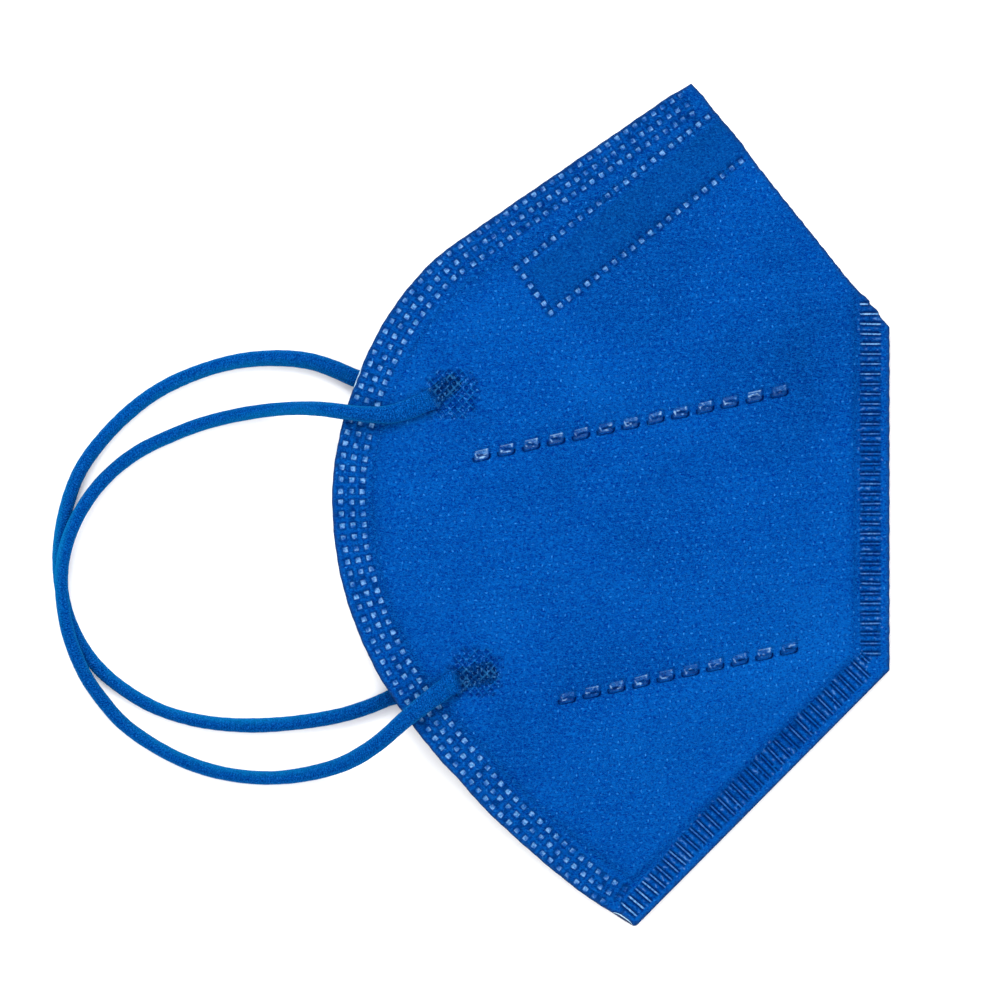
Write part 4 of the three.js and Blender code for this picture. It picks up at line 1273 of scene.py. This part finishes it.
def edge_material():
    """Cut edge of the laminate, where its layers show."""
    material, tree, shader, where = new_material("cut edge")
    streak = noise(tree, where, 900, 2.0)
    colour = blend(tree, ramp(tree, streak, 0.35, 0.65), srgb(14, 38, 86), srgb(48, 80, 128))
    plug(tree, shader, {
        "Base Color": colour, "Roughness": 0.8, "Specular IOR Level": 0.15,
        "Normal": bump(tree, streak, 0.5, 0.0002),
    })
    return material


def lining_material():
    """White inner face against the wearer's skin, navy or pale where the cut shows it."""
    material, tree, shader, where = new_material("white lining")
    bonds = placed(tree, POINT_BONDS, {"Vector": where, "Unevenness": 0.5})
    fibres = placed(tree, FELTED_FIBRES, {"Vector": where, "Scale": 0.9})
    (cut,) = attributes(tree, "cut")
    cloud = eased_noise(tree, where, 90, 2.0, 0.3, 0.7)
    broken = ramp(tree, noise(tree, where, 900, 1.0), 0.35, 0.6, 0.7, 1.0)
    colour = coats(tree, blend(tree, cloud, srgb(226, 232, 238), srgb(240, 243, 246)), [
        # Painted shade round each bond point.
        (bonds["Shaded rim"], 0.25, srgb(196, 206, 220)),
        (ramp(tree, cut, -0.01, -0.05), 1.0, srgb(8, 26, 72)),
        (ramp(tree, cut, 0.01, 0.05), broken, srgb(168, 216, 252)),
    ])
    plug(tree, shader, {
        "Base Color": colour, "Roughness": 0.85, "Specular IOR Level": 0.2,
        "Normal": bump(tree, cloth_height(tree, bonds["Spot"], fibres), 0.5, 0.0002),
    })
    return material


WALE, STITCH = 0.471, 0.52  # round and along the cord, in millimetres


def elastic_material(name, welded):
    """Knitted elastic: rows of small stitches along the cord, pressed dark where it is welded."""
    material, tree, shader, where = new_material(name)
    run = node(tree, "ShaderNodeUVMap", {}, uv_map="along").outputs[0]
    along, around, _ = node(tree, "ShaderNodeSeparateXYZ", {0: run}).outputs
    # Stitches are V shapes: each row leans the other way on the two halves of its wale.
    wales = times(tree, around, 10 / WALE)
    lean = times(tree, maths(tree, "PINGPONG", wales, 1.0), 0.55)
    rows = maths(tree, "MULTIPLY_ADD", along, 10 / STITCH, lean)
    row_wave = maths(tree, "SINE", times(tree, rows, 2 * math.pi))
    wale_wave = maths(tree, "SINE", times(tree, wales, math.pi))
    stitch = maths(tree, "MULTIPLY_ADD", wale_wave, 0.15, 0.5)
    stitch = maths(tree, "MULTIPLY_ADD", row_wave, 0.35, stitch)
    fuzz = noise(tree, where, 4000, 2.0, 0.6)
    colour = coats(tree, blend(tree, ramp(tree, fuzz, 0.34, 0.66), srgb(0, 43, 114), srgb(2, 84, 164)), [
        (ramp(tree, stitch, 0.45, 0.05), 0.5, srgb(0, 26, 84)),
        (eased_noise(tree, where, 420, 2.0, 0.5, 0.75), 0.3, srgb(0, 76, 130)),
    ])
    if not welded:
        side, painted_side_light = attributes(tree, "side", "painted_side_light")
        # Painted sheen on the cord's sides, painted light on the sides that look towards the place at
        # the left, and painted shade at the very edge.
        colour = coats(tree, colour, [
            (ramp(tree, side, 0.06, 0.5), 0.45, srgb(16, 112, 170)),
            (painted_side_light, ramp(tree, fuzz, 0.3, 0.7, 0.4, 1.0), srgb(4, 108, 166)),
            (ramp(tree, side, 0.55, 0.9), 0.4, srgb(0, 62, 120)),
        ])
    specks = eased_noise(tree, where, 3800, 1.0, 0.58, 0.7)
    colour = coats(tree, colour, [(specks, 0.5, srgb(30, 112, 204))])
    if welded:
        press, ridge = attributes(tree, "press", "ridge")
        broken = times(tree, eased_noise(tree, where, 800, 2.0, 0.45, 0.63), 0.7)
        glints = times(tree, eased_noise(tree, where, 2100, 1.0, 0.56, 0.74), 0.65)
        colour = coats(tree, colour, [
            (press, 0.86, srgb(0, 20, 70)),
            (ridge, 0.8, srgb(0, 34, 90)),
            (ridge, broken, srgb(36, 106, 162)),
            (ramp(tree, fuzz, 0.5, 0.3), press, srgb(0, 10, 56)),
            (glints, maths(tree, "ADD", press, ridge), srgb(66, 130, 194)),
        ])
    plug(tree, shader, {
        "Base Color": colour, "Roughness": 0.9, "Specular IOR Level": 0.0,
        "Normal": bump(tree, maths(tree, "MULTIPLY_ADD", fuzz, 0.5, stitch), 0.6, 0.00018),
    })
    return material


def clip_material():
    """Satin aluminium with fine rolling lines."""
    material, tree, shader, where = new_material("satin aluminium")
    line = noise(tree, mapped(tree, where, -0.66, (1, 30, 30)), 300, 3.0)
    plug(tree, shader, {
        "Base Color": blend(tree, line, srgb(176, 180, 186), srgb(214, 216, 220)),
        "Metallic": 1.0, "Roughness": ramp(tree, line, 0.3, 0.7, 0.3, 0.45),
        "Normal": bump(tree, line, 0.2, 0.0001),
    })
    return material


for material in (laminate_material(), edge_material(), lining_material()):
    mask_body.data.materials.append(material)
knit, welded_knit = elastic_material("knitted elastic", False), elastic_material("welded elastic", True)
for piece in (near_loop, far_loop):
    piece.data.materials.append(knit)
for piece in loop_ends:
    piece.data.materials.append(welded_knit)
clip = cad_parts["nose_clip"]
clip.data.materials.clear()
clip.data.materials.append(clip_material())


# ---- Table and light ----

bpy.ops.mesh.primitive_plane_add(size=6, location=(0, 0, 0))
table = bpy.context.object
table.name = "table"
material, tree, shader, where = new_material("white table")
plug(tree, shader, {
    "Base Color": blend(tree, noise(tree, where, 6, 2.0), (0.95, 0.95, 0.95, 1), (0.98, 0.98, 0.98, 1)),
    "Roughness": 0.9, "Specular IOR Level": 0.1,
})
table.data.materials.append(material)
table.select_set(False)


def area_light(name, place, size, power):
    lamp = bpy.data.lights.new(name, "AREA")
    lamp.shape, lamp.size, lamp.energy = "DISK", size, power
    made = added(name, lamp)
    made.location = place
    made.rotation_euler = (-Vector(place)).to_track_quat("-Z", "Y").to_euler()


area_light("key light", (-0.35, 1.0, 1.05), size=0.9, power=17)
area_light("fill light", (0.9, -0.7, 1.3), size=1.2, power=3)
world = bpy.data.worlds.new("studio")
scene.world = world
world.use_nodes = True
world.node_tree.nodes["Background"].inputs["Color"].default_value = (1, 1, 1, 1)
world.node_tree.nodes["Background"].inputs["Strength"].default_value = 1.5
scene.view_settings.view_transform = "Standard"
scene.view_settings.look = "None"
scene.view_settings.exposure = 0
scene.view_settings.gamma = 1
